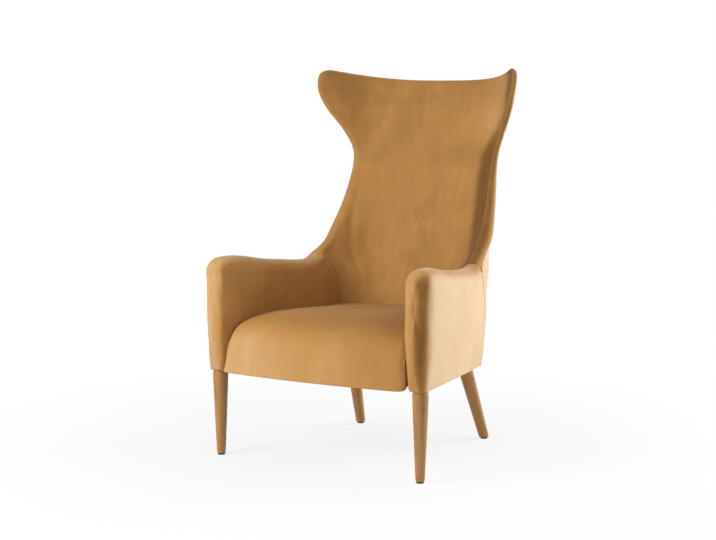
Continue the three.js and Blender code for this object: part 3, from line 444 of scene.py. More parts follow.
hardboard = flecked("hardboard", plain_colour(128, 88, 54), plain_colour(160, 118, 78), 0.0016, 0.7, 0.9)
felted_cloth = flecked("felted_cloth", plain_colour(26, 25, 25), plain_colour(50, 48, 47), 0.0011, 0.85, 0.98)
zinc_plate = flecked(
    "zinc_plate", plain_colour(176, 180, 186), plain_colour(214, 214, 208), 0.004, 0.28, 0.46, 1.0, 0.00005)
glide_plastic = flecked("glide_plastic", plain_colour(58, 55, 52), plain_colour(88, 84, 79), 0.0012, 0.45, 0.7)
print("flecked finishes made")

# %% [markdown]
# ### Webbing
# The seat and the back hang on elastic webbing: black yarn woven tightly over ribs that run along each
# strap. Two wave patterns at right angles, one for the ribs and one for the picks, give the weave.

# %% Webbing
weave, weave_in, weave_out = new_group(
    "webbing_weave",
    [("Vector", "Vector", None), ("Yarn", "Color", (0.03, 0.03, 0.03, 1)),
     ("Worn", "Color", (0.09, 0.085, 0.08, 1))],
    [("Colour", "Color"), ("Height", "Float")],
)
waves = []
for direction, scale in (("X", 115), ("Y", 190)):
    inputs = {"Vector": weave_in.outputs["Vector"], "Scale": scale, "Distortion": 0.3}
    wave = new_node(weave, "ShaderNodeTexWave", inputs, wave_type="BANDS", bands_direction=direction)
    waves.append(wave.outputs["Fac"])
ribs, picks = worked(weave, "MULTIPLY", waves[0], 0.7), worked(weave, "MULTIPLY", waves[1], 0.3)
woven_height = worked(weave, "ADD", ribs, picks)
dusty = noise_in(weave, weave_in.outputs["Vector"], 60, 3, 0.6)
worn_share = worked(weave, "MULTIPLY", woven_height, dusty)
yarn_colour = mixed(weave, worn_share, weave_in.outputs["Yarn"], weave_in.outputs["Worn"])
feed(weave, weave_out, {"Colour": yarn_colour, "Height": woven_height})


def webbing(name, turn=None):
    """Webbing whose ribs run from front to back, or another way where it is turned."""
    tones = {"Yarn": plain_colour(34, 33, 33), "Worn": plain_colour(92, 88, 84)}
    return finish(name, weave, tones, 0.85, (0.7, 0.0006), turn=turn)[0]


webbing_along = webbing("webbing_along")
webbing_across = webbing("webbing_across", turn=(0, 0, 90))
webbing_back = webbing("webbing_back", turn=(-72, 0, 0))
print("webbing made")

# %% [markdown]
# ## Measuring the chair
# The body is drawn in millimetres from one line: y is zero on the axes of the front legs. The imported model
# is centred over its footprint instead, so the shift between the two comes from the front leg's own box.

# %% Millimetres to the scene's metres
leg_low, leg_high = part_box("front_leg_right")
SHIFT_Y = (leg_low.y + leg_high.y) / 2


def in_room(point):
    """A point in the chair's own millimetres, as the scene's metres."""
    return Vector((point.x / 1000, point.y / 1000 + SHIFT_Y, point.z / 1000))


print("front legs stand at y =", round(SHIFT_Y, 5))


# %% Smooth reading of a table
def reader(rows):
    """Reads a table of [place, value, value, ...] at any place, along a smooth curve through its rows."""
    def slope(i, k):
        low, high = max(0, i - 1), min(len(rows) - 1, i + 1)
        return (rows[high][k] - rows[low][k]) / (rows[high][0] - rows[low][0])

    def read(at):
        at = min(max(at, rows[0][0]), rows[-1][0])
        i = max(k for k in range(len(rows) - 1) if rows[k][0] <= at)
        step = rows[i + 1][0] - rows[i][0]
        t = (at - rows[i][0]) / step
        values = []
        for k in range(1, len(rows[0])):
            start, end = rows[i][k], rows[i + 1][k]
            a = 2 * t ** 3 - 3 * t ** 2 + 1
            b = (t ** 3 - 2 * t ** 2 + t) * step
            c = -2 * t ** 3 + 3 * t ** 2
            d = (t ** 3 - t ** 2) * step
            values.append(a * start + b * slope(i, k) + c * end + d * slope(i + 1, k))
        return values

    return read


def smooth_share(value):
    """0 below 0, 1 above 1, and an even curve between."""
    t = min(max(value, 0), 1)
    return t * t * (3 - 2 * t)


def turned_in(distance, radius):
    """How far a rounded edge has dropped at a distance from its end."""
    inside = min(max(radius - distance, 0), radius)
    return radius - math.sqrt(radius ** 2 - inside ** 2)


print("a 10 mm edge drops", round(turned_in(5, 10), 2), "mm at half way")


# %% Weaving a surface
def woven(columns, rows, place_of):
    """A grid whose corners go where place_of(column, row) puts them: it gives a point, seam, nap and hold."""
    bm = bmesh.new()
    layers = [bm.verts.layers.float.new(name) for name in ("seam", "nap", "hold")]
    across, along = len(columns) - 1, len(rows) - 1
    bmesh.ops.create_grid(bm, x_segments=across, y_segments=along, size=0.5)
    for vertex in bm.verts:
        column = columns[round((vertex.co.x + 0.5) * across)]
        row = rows[round((vertex.co.y + 0.5) * along)]
        point, *values = place_of(column, row)
        vertex.co = point
        for layer, value in zip(layers, values):
            vertex[layer] = value
    return bm


def fill_holes(bm):
    """Closes every open end."""
    rim = [edge for edge in bm.edges if edge.is_boundary]
    bmesh.ops.holes_fill(bm, edges=rim, sides=0)


print("a test weave has", len(woven((0, 1), (0, 1), lambda c, r: [Vector((c, r, 0))]).verts), "corners")


# %% Publishing a piece
def publish(name, bm, material, levels=0, nodes=(), welded=0.02):
    """Turns a bmesh in the chair's millimetres into a finished object on the chair's body."""
    hold = bm.verts.layers.float.get("hold")
    if hold:
        bm.verts.layers.float.remove(hold)
    bmesh.ops.remove_doubles(bm, verts=bm.verts, dist=welded)
    bmesh.ops.dissolve_degenerate(bm, edges=bm.edges, dist=0.001)
    for vertex in bm.verts:
        vertex.co = in_room(vertex.co)
    bmesh.ops.recalc_face_normals(bm, faces=bm.faces)
    mesh = bpy.data.meshes.new(name)
    bm.to_mesh(mesh)
    bm.free()
    mesh.shade_smooth()
    mesh.materials.append(material)
    made = placed(name, mesh)
    if levels:
        smoother = made.modifiers.new("smoother", "SUBSURF")
        smoother.levels = smoother.render_levels = levels
    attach(made, "root")
    if nodes:
        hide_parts(*nodes)
    print(name, len(mesh.polygons), "faces")
    return made


print("pieces are drawn in millimetres and published in metres")

# %% [markdown]
# ### Swelling
# Foam presses a cover outward while its seams hold it back, so padding is full between its seams. Swelling
# every panel by hand would be possible, but a short cloth simulation puts the fullness where the seams ask
# for it. The weave itself is simulated, with pressure from inside and without gravity. Its seams are held,
# no point may move far, and it starts slightly smaller, so that the panel ends at its own size.

# %% The swelling's cloth
SWELL_FRAMES, SWELL_PRESSURE, SWELL_STIFFNESS, SWELL_QUALITY = 20, 4, 25, 5


def swelling_object(bm, hold):
    """The cover as a cloth object in metres, held by the weights of the hold layer."""
    mesh = bpy.data.meshes.new("swelling")
    bm.to_mesh(mesh)
    mesh.transform(Matrix.Scale(0.001, 4))
    made = placed("swelling", mesh)
    held = made.vertex_groups.new(name="held")
    for vertex in bm.verts:
        held.add([vertex.index], min(max(vertex[hold], 0), 1), "REPLACE")
    cloth = made.modifiers.new("cloth", "CLOTH")
    cloth.settings.quality = SWELL_QUALITY
    cloth.settings.tension_stiffness = cloth.settings.compression_stiffness = SWELL_STIFFNESS
    cloth.settings.use_pressure = True
    cloth.settings.uniform_pressure_force = SWELL_PRESSURE
    cloth.settings.vertex_group_mass = "held"
    cloth.settings.effector_weights.gravity = 0
    cloth.collision_settings.use_collision = False
    cloth.point_cache.frame_start, cloth.point_cache.frame_end = 1, SWELL_FRAMES
    return made


print("a cover swells over", SWELL_FRAMES, "frames")


# %% Swelling a cover
SHORTEST_EDGE = 0.5


def swell(name, bm, room, reach):
    """Swells a cover whose faces point outward. It starts in by the room and moves less than the reach."""
    bmesh.ops.remove_doubles(bm, verts=bm.verts, dist=SHORTEST_EDGE)
    hold = bm.verts.layers.float["hold"]
    bm.verts.index_update()
    bm.normal_update()
    starts = [v.co - v.normal * room * (1 - min(max(v[hold], 0), 1)) for v in bm.verts]
    for vertex, start in zip(bm.verts, starts):
        vertex.co = start
    made = swelling_object(bm, hold)
    for number in range(1, SWELL_FRAMES + 1):
        bpy.context.scene.frame_set(number)
    swollen = made.evaluated_get(bpy.context.evaluated_depsgraph_get()).data
    moves = [swollen.vertices[v.index].co * 1000 - v.co for v in bm.verts]
    for vertex, move in zip(bm.verts, moves):
        vertex.co = vertex.co + move * reach / (reach + move.length)
    bpy.context.scene.frame_set(1)
    mesh = made.data
    bpy.data.objects.remove(made)
    bpy.data.meshes.remove(mesh)
    lengths = sorted(move.length for move in moves)
    print(name, "asked for", round(lengths[len(lengths) // 2], 1), "to", round(lengths[-1], 1), "mm")


def facing(bm, way):
    """Turns an open cover so that its faces look along a way."""
    bmesh.ops.recalc_face_normals(bm, faces=bm.faces)
    if sum(face.normal.dot(Vector(way)) * face.calc_area() for face in bm.faces) < 0:
        bmesh.ops.reverse_faces(bm, faces=bm.faces)


print("edges shorter than", SHORTEST_EDGE, "mm are merged before a cover swells")


# %% Columns and rows
def edge_dense(count, power=1.7):
    """Columns from -1 to 1 that crowd towards both edges."""
    half = [1 - (1 - i / count) ** power for i in range(count + 1)]
    return [-share for share in reversed(half[1:])] + half


def spaced(low, high, count):
    """Evenly spaced numbers, both ends included."""
    return [low + (high - low) * i / (count - 1) for i in range(count)]


print("columns:", [round(c, 3) for c in edge_dense(4)])

# %% [markdown]
# ## The arms' measurements
# An arm is a thick rounded bolster that toes in towards the back. Its top falls from the nose and rises
# again into the wing, and its nose narrows to the front leg, which carries on its line.

# %% Sizes shared by the body
BODY_BOTTOM, SEAT_HEIGHT, ARM_HEIGHT, JUNCTION_HEIGHT, EAR_HEIGHT = 250, 403, 580, 556, 1117
ARM_THICKNESS, ARM_CENTRE_X, ARM_TOE, ARM_NOSE_Y = 82, 326, 0.15, -38
NOSE_DROP, TAPER_HEIGHT, TAPER_IN, TAPER_OUT, LEG_X = 49, 160, 12, 9, 331
TAPER_POWER, NOSE_LEAN = 1.1, 0.1
SEAM_Y, SEAM_RISE, OUTER_SEAM_Y, OUTER_SEAM_RISE, CORNER_LIFT = 455, 47, 432, 32, 9
REAR_CORNER = 40
ARM_TOP = [
    [-0.09, 1], [0.07, 1], [0.14, 0.998], [0.25, 0.984], [0.36, 0.971], [0.55, 0.953], [0.72, 0.94],
    [0.83, 0.942], [0.9, 0.959], [1.04, 0.99],
]
read_arm_top = reader(ARM_TOP)
print("arm top at the seam:", round(read_arm_top(1)[0] * ARM_HEIGHT, 1))


# %% How an arm is shaped
def arm_centre(y):
    """The middle of the right arm at a depth. It toes in towards the back."""
    return ARM_CENTRE_X - ARM_TOE * y


def arm_inner(y):
    return arm_centre(y) - ARM_THICKNESS / 2


def arm_outer(y):
    return arm_centre(y) + ARM_THICKNESS / 2


def arm_top(y):
    """The height of the arm's top at a depth, rounded down over the nose."""
    to_corner = min(max(0, NOSE_DROP - (y - ARM_NOSE_Y)), NOSE_DROP)
    drop = NOSE_DROP - math.sqrt(max(0, NOSE_DROP ** 2 - to_corner ** 2))
    return read_arm_top(y / SEAM_Y)[0] * ARM_HEIGHT - drop


def taper(z):
    """0 above the narrowing of the nose, 1 at the bottom."""
    return min(max((BODY_BOTTOM + TAPER_HEIGHT - z) / TAPER_HEIGHT, 0), 1) ** TAPER_POWER


def near_nose(y):
    """1 at the nose, fading to 0 along the arm."""
    return 1 - smooth_share((y - ARM_NOSE_Y - ARM_THICKNESS / 2) / (ARM_THICKNESS + TAPER_HEIGHT))


def lean_out(z):
    """The nose moves a little towards the leg's line as it narrows."""
    return NOSE_LEAN * (LEG_X - ARM_CENTRE_X) * taper(z)


print("the arm's top at the nose:", round(arm_top(20)), "mm")


# %% The nose and the lower edge
NOSE_POWER = 2.5


def nose_half(y, z):
    """Half the arm's width at a depth and height, with its rounded front."""
    half = ARM_THICKNESS / 2 - TAPER_IN * taper(z) * near_nose(y)
    centre = (ARM_NOSE_Y + ARM_THICKNESS / 2) * (1 - taper(z))
    if y >= centre:
        return half
    reach = min(1, (centre - y) / half)
    return half * max(0, 1 - reach ** NOSE_POWER) ** (1 / NOSE_POWER)


def outer_ease(y, z):
    """Behind the nose the outer face keeps its width, less a small draw-in at the bottom."""
    own = TAPER_IN * taper(z) * near_nose(y)
    behind = smooth_share((y - ARM_NOSE_Y) / ARM_THICKNESS)
    return behind * (own - (TAPER_OUT + lean_out(z)) * taper(z))


def arm_lower(y):
    """The arm's lower edge, which rises at the nose and at the rear corner."""
    drawn = TAPER_IN - ARM_NOSE_Y - ARM_THICKNESS / 2
    along = min(max((y - ARM_NOSE_Y) / drawn, 0), 1)
    nose_lift = TAPER_HEIGHT * (1 - along ** (1 / TAPER_POWER))
    past = min(REAR_CORNER, max(0, y - (OUTER_SEAM_Y - REAR_CORNER)))
    rear_lift = REAR_CORNER - math.sqrt(REAR_CORNER ** 2 - past ** 2)
    return BODY_BOTTOM + nose_lift + min(rear_lift, CORNER_LIFT)


print("nose half width at the top", nose_half(3, 500), "and at the leg", nose_half(0, 250))

# %% [markdown]
# ## The back's measurements
# The back is one curved shell. Each row of the table says where the crease of the wing is at one height, how
# the band beside it lies, and how full the inside and outside curves are. Reading the rows along a smooth
# curve gives the back at any height.

# %% Rows of the back
LOWER_ROWS = [
    [0.007, 0.06, 1, 0, 0, 1, 3, 5, 1.29], [0.137, 0.04, 0.5, 0, 0, 0.2, 3, 5, 1.33],
    [0.31, 0.02, 0.2, 0, 0, 0.1, 3, 5.5, 1.24], [0.5, 0, 0, 0, 0, 0, 3, 5.8, 1.13],
    [0.654, 0, 0.125, 0, 0, 0, 3.2, 5.4, 1.07], [0.817, 0.11, 0.47, 0.1, 0.03, 0, 3.6, 6, 1.02],
    [0.941, 0.64, 0.84, 0.5, 0.12, 0, 4.3, 7, 1], [1, 1, 0.125, 0.83, 0.13, 0, 4.5, 6.4, 0.98],
]
UPPER_ROWS = [
    [0.052, 0.184, 0.59, 0.93, 47, 4, 5, 0.96], [0.106, 0.163, 0.505, 1, 46, 3.5, 4.2, 0.95],
    [0.168, 0.117, 0.408, 0.78, 52, 3.1, 3.6, 0.93], [0.258, 0.071, 0.335, 0.53, 52, 2.8, 3.1, 0.91],
    [0.366, 0.015, 0.297, 0.35, 51, 2.5, 2.8, 0.89], [0.473, 0, 0.289, 0.12, 50, 2.4, 2.5, 0.87],
    [0.563, 0.066, 0.333, 0.04, 47, 2.4, 2.4, 0.85], [0.67, 0.367, 0.506, 0, 41, 2.4, 2.4, 0.84],
    [0.778, 0.745, 0.762, 0, 36, 2.5, 2.5, 0.8], [0.867, 0.934, 0.929, 0, 40, 2.6, 2.6, 0.76],
    [0.939, 0.99, 0.987, 0, 42, 2.6, 2.6, 0.73], [0.978, 0.944, 0.992, 0, 42, 2.6, 2.6, 0.7],
    [1, 0.79, 0.95, 0, 42, 2.6, 2.6, 0.68],
]
BACK_SEAT_Y, LEAN, BACK_THICKNESS, PAD_ROLL = 515, 0.321, 55, 8
WAIST_HALF, EAR_HALF, EAR_WRAP, BAND_TOP, BAND_FOOT = 236, 334, 204, 18, 44
TOP_DIP, DIP_START, TOP_ROLL = 34.5, 900, 19


def back_centre(z):
    """The inside back on the centre line."""
    return BACK_SEAT_Y + LEAN * (z - SEAT_HEIGHT)


def lower_values(share, inner, outer, shoulder_in, shoulder_out, lift, in_power, out_power, thick):
    """A row below the arms' tops, whose creases lie on the arms' inner faces."""
    y_in, y_out = SEAM_Y - inner * SEAM_RISE, OUTER_SEAM_Y - outer * OUTER_SEAM_RISE
    x_in = arm_inner(y_in) + shoulder_in * ARM_THICKNESS / 2
    x_out = arm_outer(y_out) - shoulder_out * ARM_THICKNESS / 2
    z = BODY_BOTTOM + share * (JUNCTION_HEIGHT - BODY_BOTTOM)
    return [z, x_in, y_in, x_out, y_out, lift * CORNER_LIFT, in_power, out_power, thick]


def upper_values(share, wide, wrap, band, turn, in_power, out_power, thick):
    """A row above the arms' tops. The band is as wide and as turned as the row says."""
    z = JUNCTION_HEIGHT + share * (EAR_HEIGHT - JUNCTION_HEIGHT)
    x_in = WAIST_HALF + wide * (EAR_HALF - WAIST_HALF)
    y_in = back_centre(z) - wrap * EAR_WRAP
    width, angle = BAND_TOP + band * (BAND_FOOT - BAND_TOP), math.radians(turn)
    return [z, x_in, y_in, x_in + width * math.sin(angle), y_in + width * math.cos(angle), 0,
            in_power, out_power, thick]


read_back = reader([lower_values(*row) for row in LOWER_ROWS] + [upper_values(*row) for row in UPPER_ROWS])
print("ear crease at 1080:", [round(v) for v in read_back(1080)[:2]])


# %% Points of the back
class Row:
    """The back at one height."""

    def __init__(self, z):
        x_in, y_in, x_out, y_out, lift, self.in_power, self.out_power, thick = read_back(z)
        self.z = z
        self.crease, self.corner = Vector((x_in, y_in, z)), Vector((x_out, y_out, z + lift))
        self.middle_z = z - TOP_DIP * max(0, z - DIP_START) / (EAR_HEIGHT - DIP_START)
        self.inside_y = back_centre(self.middle_z)
        self.outside_y = self.inside_y + thick * BACK_THICKNESS

    def curve(self, column, edge, middle_y, power, z_power):
        """A point on the curve from the middle to one edge."""
        out = abs(column)
        return Vector((
            column * edge.x,
            middle_y - (middle_y - edge.y) * out ** power,
            self.middle_z + (edge.z - self.middle_z) * out ** z_power,
        ))

    def inside(self, column):
        """The inside face before its padding swells."""
        return self.curve(column, self.crease, self.inside_y + PAD_ROLL, self.in_power, 2.9)

    def outside(self, column):
        """The outside face, over the board."""
        z_power = 4 if self.z < SEAT_HEIGHT else 2.9
        return self.curve(column, self.corner, self.outside_y, self.out_power, z_power)

    def face(self, column):
        """The swollen inside face."""
        inside = self.inside(column)
        out = (inside - self.outside(column)).normalized()
        return inside + out * PAD_ROLL * (1 - abs(column) ** 10)

    def reach_in(self, column):
        """Distance along the inside from a column to the crease, about."""
        per_column = math.hypot(self.crease.x, self.in_power * (self.inside_y + PAD_ROLL - self.crease.y))
        return (1 - abs(column)) * per_column

    def reach_out(self, column):
        """Distance along the outside from a column to the band, about."""
        per_column = math.hypot(self.corner.x, self.out_power * (self.outside_y - self.corner.y))
        return (1 - abs(column)) * per_column


waist = Row(822)
print("waist half width", round(waist.crease.x), "thickness", round((waist.face(0) - waist.outside(0)).length))


# %% The roll over the top edge
TOP_ROLL_EAR, TOP_SEAM = 12, 150
row_cache = {}
FIRST_ROW_Z = lower_values(*LOWER_ROWS[0])[0]


def row_at(z):
    """The row at a height, kept for the next time."""
    key = round(z, 2)
    if key not in row_cache:
        row_cache[key] = Row(max(z, FIRST_ROW_Z))
    return row_cache[key]


def roll_radius(column):
    """The roll over the top edge is slimmer at the ears."""
    return TOP_ROLL + (TOP_ROLL_EAR - TOP_ROLL) * abs(column) ** 2


def level_at(low, level, column):
    """Height and front share of a level: a share of the way up to the roll, or an angle on the roll."""
    kind, value = level
    radius = roll_radius(column)
    if kind == "rise":
        return low + value * (EAR_HEIGHT - radius - low), 1
    turn = math.radians(value)
    return EAR_HEIGHT - radius * (1 - math.sin(turn)), math.cos(turn)


def roll_centre(column):
    """The middle of the shell just under the roll."""
    row = row_at(EAR_HEIGHT - roll_radius(column))
    return (row.face(column) + row.outside(column)) / 2


def on_roll(front, rear, share):
    """A point between the front and rear faces: share 1 is the front, 0 the middle and -1 the rear."""
    middle = (front + rear) / 2
    return middle + (front - middle) * share


print("the roll's radius is", roll_radius(0), "mm in the middle and", roll_radius(1), "mm at the ears")

# %% [markdown]
# ## Inside back
# The inside back is one padded panel: it fills the hollow between the wings, rolls into the crease along
# them and goes over the top edge to a seam behind. It could be sculpted, but it is woven as a grid from the
# back's rows, and its edges turn in so that the seams have real depth. A wall of a few millimetres stands
# for the cloth and its wadding. The light and shade painted into its colour is written first, zone by zone.

# %% Painted light and shade on the inside back
def inside_back_nap(column, z):
    """Painted light and shade: darker along the top edge, in the left wing and low on the right, lighter in the
    right wing, and deep painted shade along the right wing's edge and at its ear.
    """
    top = smooth_share((z - 985) / 90)
    left_wing = smooth_share((-column - 0.55) / 0.3) * smooth_share((z - 880) / 90)
    right_wing = smooth_share((column - 0.5) / 0.25) * smooth_share((z - 860) / 90)
    low_right = smooth_share((column - 0.5) / 0.45) * (1 - smooth_share((z - 700) / 160))
    right_edge = smooth_share((column - 0.74 - 0.1 * smooth_share((z - 840) / 140)) / 0.16)
    ear = smooth_share((column - 0.84) / 0.12) * smooth_share((z - 1000) / 60)
    nap = -0.18 - 0.14 * top - 0.12 * left_wing + 0.22 * right_wing * (1 - top) - 0.2 * low_right
    return nap - 0.95 * right_edge - 0.6 * ear


print("nap in the middle of the back:", inside_back_nap(0, 700))


# %% The inside back's edges
SOFT_FROM, SOFT_OVER = 535, 50
TIP_FROM, TIP_OVER = 1070, 35
VALLEY_WIDE, VALLEY_TIGHT, SEAM_EDGE, TIP_TURN = 13, 1.8, 1.5, 20


def edge_softness(column, z):
    """0 where the seam is a tight valley, 1 where the edge is a soft roll, as on the left wing."""
    return smooth_share(-4 * column - 2) * smooth_share((z - SOFT_FROM) / SOFT_OVER)


def near_tip(z):
    """1 at the tip of an ear, 0 below it."""
    return smooth_share((z - TIP_FROM) / TIP_OVER)


def edge_drop(side, z, soft):
    """How far the inside back turns in beside the wing's seam. Near the ear's tip it turns in sooner."""
    valley = 0.35 * turned_in(side, VALLEY_WIDE) * (1 - near_tip(z)) + turned_in(side, VALLEY_TIGHT)
    return (1 - soft) * valley + 0.4 * turned_in(side, TIP_TURN) * near_tip(z)


print("the seam's valley is", round(edge_drop(0, 800, 0), 1), "mm deep")

# %% [markdown]
# ### The soft left wing
# The photograph shows no seam on the left wing: the panel goes round its edge as one soft roll. A bevel on
# the edge would need the two sides to be one mesh already, so the panel's own columns are carried on over
# the band, and the points near the ridge are moved onto a smooth curve between the two sides.

# %% Round the left wing
RIDGE_ROUND, RIDGE_SHARE = 22, 0.6
BAND_FULLNESS, PANEL_LIFT, LIFT_RUN, PAST_CORNER = 3.4, 1.2, 9, 2


def left_band(row):
    """The left wing's ridge, the way over its band, the way out of the band, and its width."""
    ridge, corner = row.crease.copy(), row.corner.copy()
    ridge.x, corner.x = -ridge.x, -corner.x
    way = corner - ridge
    return ridge, way.normalized(), Vector((-way.y, way.x, 0)).normalized(), way.length


def over_band(row, run, dropped=0):
    """The move from the panel's edge after a run over the left band, which is a little full."""
    _, way, outward, width = left_band(row)
    across = min(1, (dropped + run) / width)
    lift = BAND_FULLNESS * 4 * across * (1 - across) + PANEL_LIFT
    return way * run + outward * lift * smooth_share(run / LIFT_RUN)


def ridge_shift(row, column, run):
    """How far a point near the left wing's ridge moves in, so that the ridge is a soft round."""
    ridge, _, _, width = left_band(row)
    reach = min(RIDGE_ROUND, RIDGE_SHARE * width)
    turn = (reach + run - row.reach_in(column)) / (2 * reach)
    if column > -0.5 or turn <= 0 or turn >= 1:
        return Vector((0, 0, 0))
    start, end = row.face(reach / row.reach_in(0) - 1), ridge + over_band(row, reach)
    here = ridge + over_band(row, run) if run else row.face(column)
    return start * (1 - turn) ** 2 + ridge * 2 * turn * (1 - turn) + end * turn ** 2 - here


print("the left band is", round(left_band(row_at(900))[3]), "mm wide at a height of 900")


# %% The inside back's panel
# The seam value here paints a faint highlight and puckers beside a wing's seam.
INSIDE_LOW, WING_SEAM = 345, 0.2


def inside_back_point(place, level):
    """A point of the panel. Places below -1 are the part that is carried on round the left wing."""
    column, wrap = max(place, -1), max(0, -1 - place)
    z, share = level_at(INSIDE_LOW, level, column)
    row = row_at(z)
    front, rear = row.face(column), row.outside(column)
    point = on_roll(front, rear, share)
    side = row.reach_in(column)
    soft = edge_softness(column, z)
    drop = edge_drop(side, z, soft)
    middle = (front + rear) / 2
    if level[0] == "roll":
        drop += turned_in(max(0, math.radians(TOP_SEAM - level[1])) * roll_radius(column), SEAM_EDGE)
        middle = roll_centre(column)
    inward = middle - point
    point = point + inward.normalized() * min(drop, inward.length)
    run = max(0, (left_band(row)[3] + PAST_CORNER) * soft - drop) * wrap
    if run:
        point = point + over_band(row, run, drop) * max(share, 0)
    point = point + ridge_shift(row, column, run) * soft * max(share, 0) * (1 - near_tip(z))
    held = max(smooth_share(1 - (side - 10) / 30), 1 - smooth_share((z - 430) / 60))
    if level[0] == "roll":
        held = max(held, smooth_share((level[1] + 5) / 40))
    return point, WING_SEAM * smooth_share(1 - side / 10) * (1 - soft), inside_back_nap(column, z), held


print("the panel starts", SEAT_HEIGHT - INSIDE_LOW, "mm below the seat's height")

# %% The inside back
PADDED_WALL = 2.5

inside_levels = [("rise", share) for share in spaced(0, 1, 58)]
inside_levels += [
    ("roll", angle) for angle in (12, 24, 36, 48, 60, 72, 84, 96, 108, 120, 132, 141, 146, TOP_SEAM)]
round_the_wing = [-1 - wrap for wrap in (1, 0.97, 0.9, 0.75, 0.58, 0.42, 0.28, 0.16, 0.07)]
inside_back_bm = woven(round_the_wing + edge_dense(30), inside_levels, inside_back_point)
facing(inside_back_bm, (0, -1, 0))
swell("inside back", inside_back_bm, room=3, reach=8)
bmesh.ops.solidify(inside_back_bm, geom=inside_back_bm.faces, thickness=PADDED_WALL)
publish(
    "inside_back_velvet", inside_back_bm, camel_velvet, levels=1, nodes=("inside_back_cover", "back_foam"))

# %% [markdown]
# ## Outside back and wing bands
# The outside back is a second panel, stretched over the outer board and folded in under the body. It meets a
# narrow band that edges each wing, which starts at the arm's top and thins out towards the tip of the ear.
# Both are tight over timber, so they are woven at their final shape and don't swell. On the left wing the
# band lies under the panel that is carried round, so it starts further out there and is sunk a little.

# %% The outside back
OUTSIDE_LOW, OUTSIDE_EDGE, TIGHT_WALL = 256, 14, 2


def outside_back_nap(column):
    """Painted highlight: the cloth is painted pale towards the right edge, which turns to the light."""
    return 0.9 * smooth_share((column - 0.8) / 0.12)


def outside_back_point(column, level):
    """A point of the outside back. A fold level is a height with the distance that the cloth is folded in."""
    kind, value = level
    fold = 0
    if kind == "fold":
        z, share, fold = value[0], 1, value[1]
    else:
        z, share = level_at(OUTSIDE_LOW, level, column)
    row = row_at(z)
    front, rear = row.face(column), row.outside(column)
    point = on_roll(front, rear, -share)
    point.z += min(0, z - FIRST_ROW_Z)
    side = row.reach_out(column)
    soft = edge_softness(column, z)
    drop = fold + (1 - 0.6 * soft) * 0.4 * turned_in(side, OUTSIDE_EDGE)
    drop += (1 - soft) * turned_in(side, VALLEY_TIGHT)
    if kind == "roll":
        drop += turned_in(math.radians(180 - TOP_SEAM - value) * roll_radius(column), SEAM_EDGE)
    near = smooth_share(1 - side / 10) * (1 - soft)
    return point + ((front + rear) / 2 - point).normalized() * drop, near, outside_back_nap(column)


outside_levels = [
    ("fold", pair) for pair in ((250.6, 20), (250.4, 12), (250.4, 6), (251, 2.5), (252.5, 0.7))]
outside_levels += [("rise", share) for share in spaced(0, 1, 62)]
outside_levels += [("roll", angle) for angle in (10, 20, 26, 180 - TOP_SEAM)]
outside_back_bm = woven(edge_dense(26), outside_levels, outside_back_point)
bmesh.ops.solidify(outside_back_bm, geom=outside_back_bm.faces, thickness=TIGHT_WALL)
publish(
    "outside_back_velvet", outside_back_bm, camel_velvet, levels=1, nodes=("outside_back_cover",))


# %% Painted light and shade on the bands
def band_nap(side, across, z):
    """Painted shade and highlight: the right band runs from deep painted shade at its seam to a pale painted
    highlight at its rim. The left band is even.
    """
    if side < 0:
        return -0.05
    high = smooth_share((z - 960) / 80)
    low = 1 - smooth_share((z - 600) / 160)
    return -0.75 - 0.1 * low + 0.45 * high * across + 1.2 * smooth_share((across - 0.35) / 0.55)


print("nap of the right band from seam to rim:", [round(band_nap(1, a, 800), 2) for a in (0, 0.5, 1)])

# %% The wing bands
BAND_LOW, BAND_TUCK, BAND_SINK = 528, 0.65, 5
BAND_EDGE_IN, BAND_EDGE_OUT = 8, 11


def band_point(side):
    """Points of one wing's band, 1 for the right wing. The left one, -1, is tucked under the panel."""
    def place_of(across, level):
        z, share = level_at(BAND_LOW, level, 1)
        row = row_at(z)
        soft = edge_softness(side, z)
        across += BAND_TUCK * soft * (1 - across)
        crease, corner = row.crease, row.corner
        point = on_roll(crease.lerp(corner, across), crease.lerp(corner, 1 - across), share)
        way = corner - crease
        outward = Vector((way.y, -way.x, 0)).normalized()
        width = way.length * share
        in_seam, out_seam = across * width, (1 - across) * width
        bulge = BAND_FULLNESS * 4 * across * (1 - across) * share
        drop = (1 - 0.5 * soft) * 0.3 * turned_in(in_seam, BAND_EDGE_IN)
        drop += (1 - soft) * turned_in(in_seam, SEAM_EDGE)
        drop += BAND_SINK * soft
        drop += 0.4 * turned_in(out_seam, BAND_EDGE_OUT) + turned_in(out_seam, SEAM_EDGE)
        point = point + outward * (bulge - drop * share)
        point.z -= (1 - share) * edge_drop(0, z, soft)
        near = WING_SEAM * smooth_share(1 - in_seam / BAND_EDGE_IN) * (1 - soft)
        return Vector((side * point.x, point.y, point.z)), near, band_nap(side, across, z)
    return place_of


band_columns = [0, 0.03, 0.08, 0.16, 0.28, 0.42, 0.56, 0.7, 0.82, 0.91, 0.97, 1]
band_levels = [("rise", share) for share in spaced(0, 1, 54)]
band_levels += [("roll", angle) for angle in (12, 24, 36, 48, 60, 72, 82, 89)]
for side, word in ((-1, "left"), (1, "right")):
    band_bm = woven(band_columns, band_levels, band_point(side))
    bmesh.ops.recalc_face_normals(band_bm, faces=band_bm.faces)
    bmesh.ops.solidify(band_bm, geom=band_bm.faces, thickness=TIGHT_WALL)
    publish(f"wing_band_{word}_velvet", band_bm, camel_velvet, levels=1)

# %% [markdown]
# ## Arms
# Each arm is woven as rings across it, from a single line at the front of the nose to the seam with the
# back. The last rings turn in, so the seam is a real valley, and the mesh is closed there and under the arm.

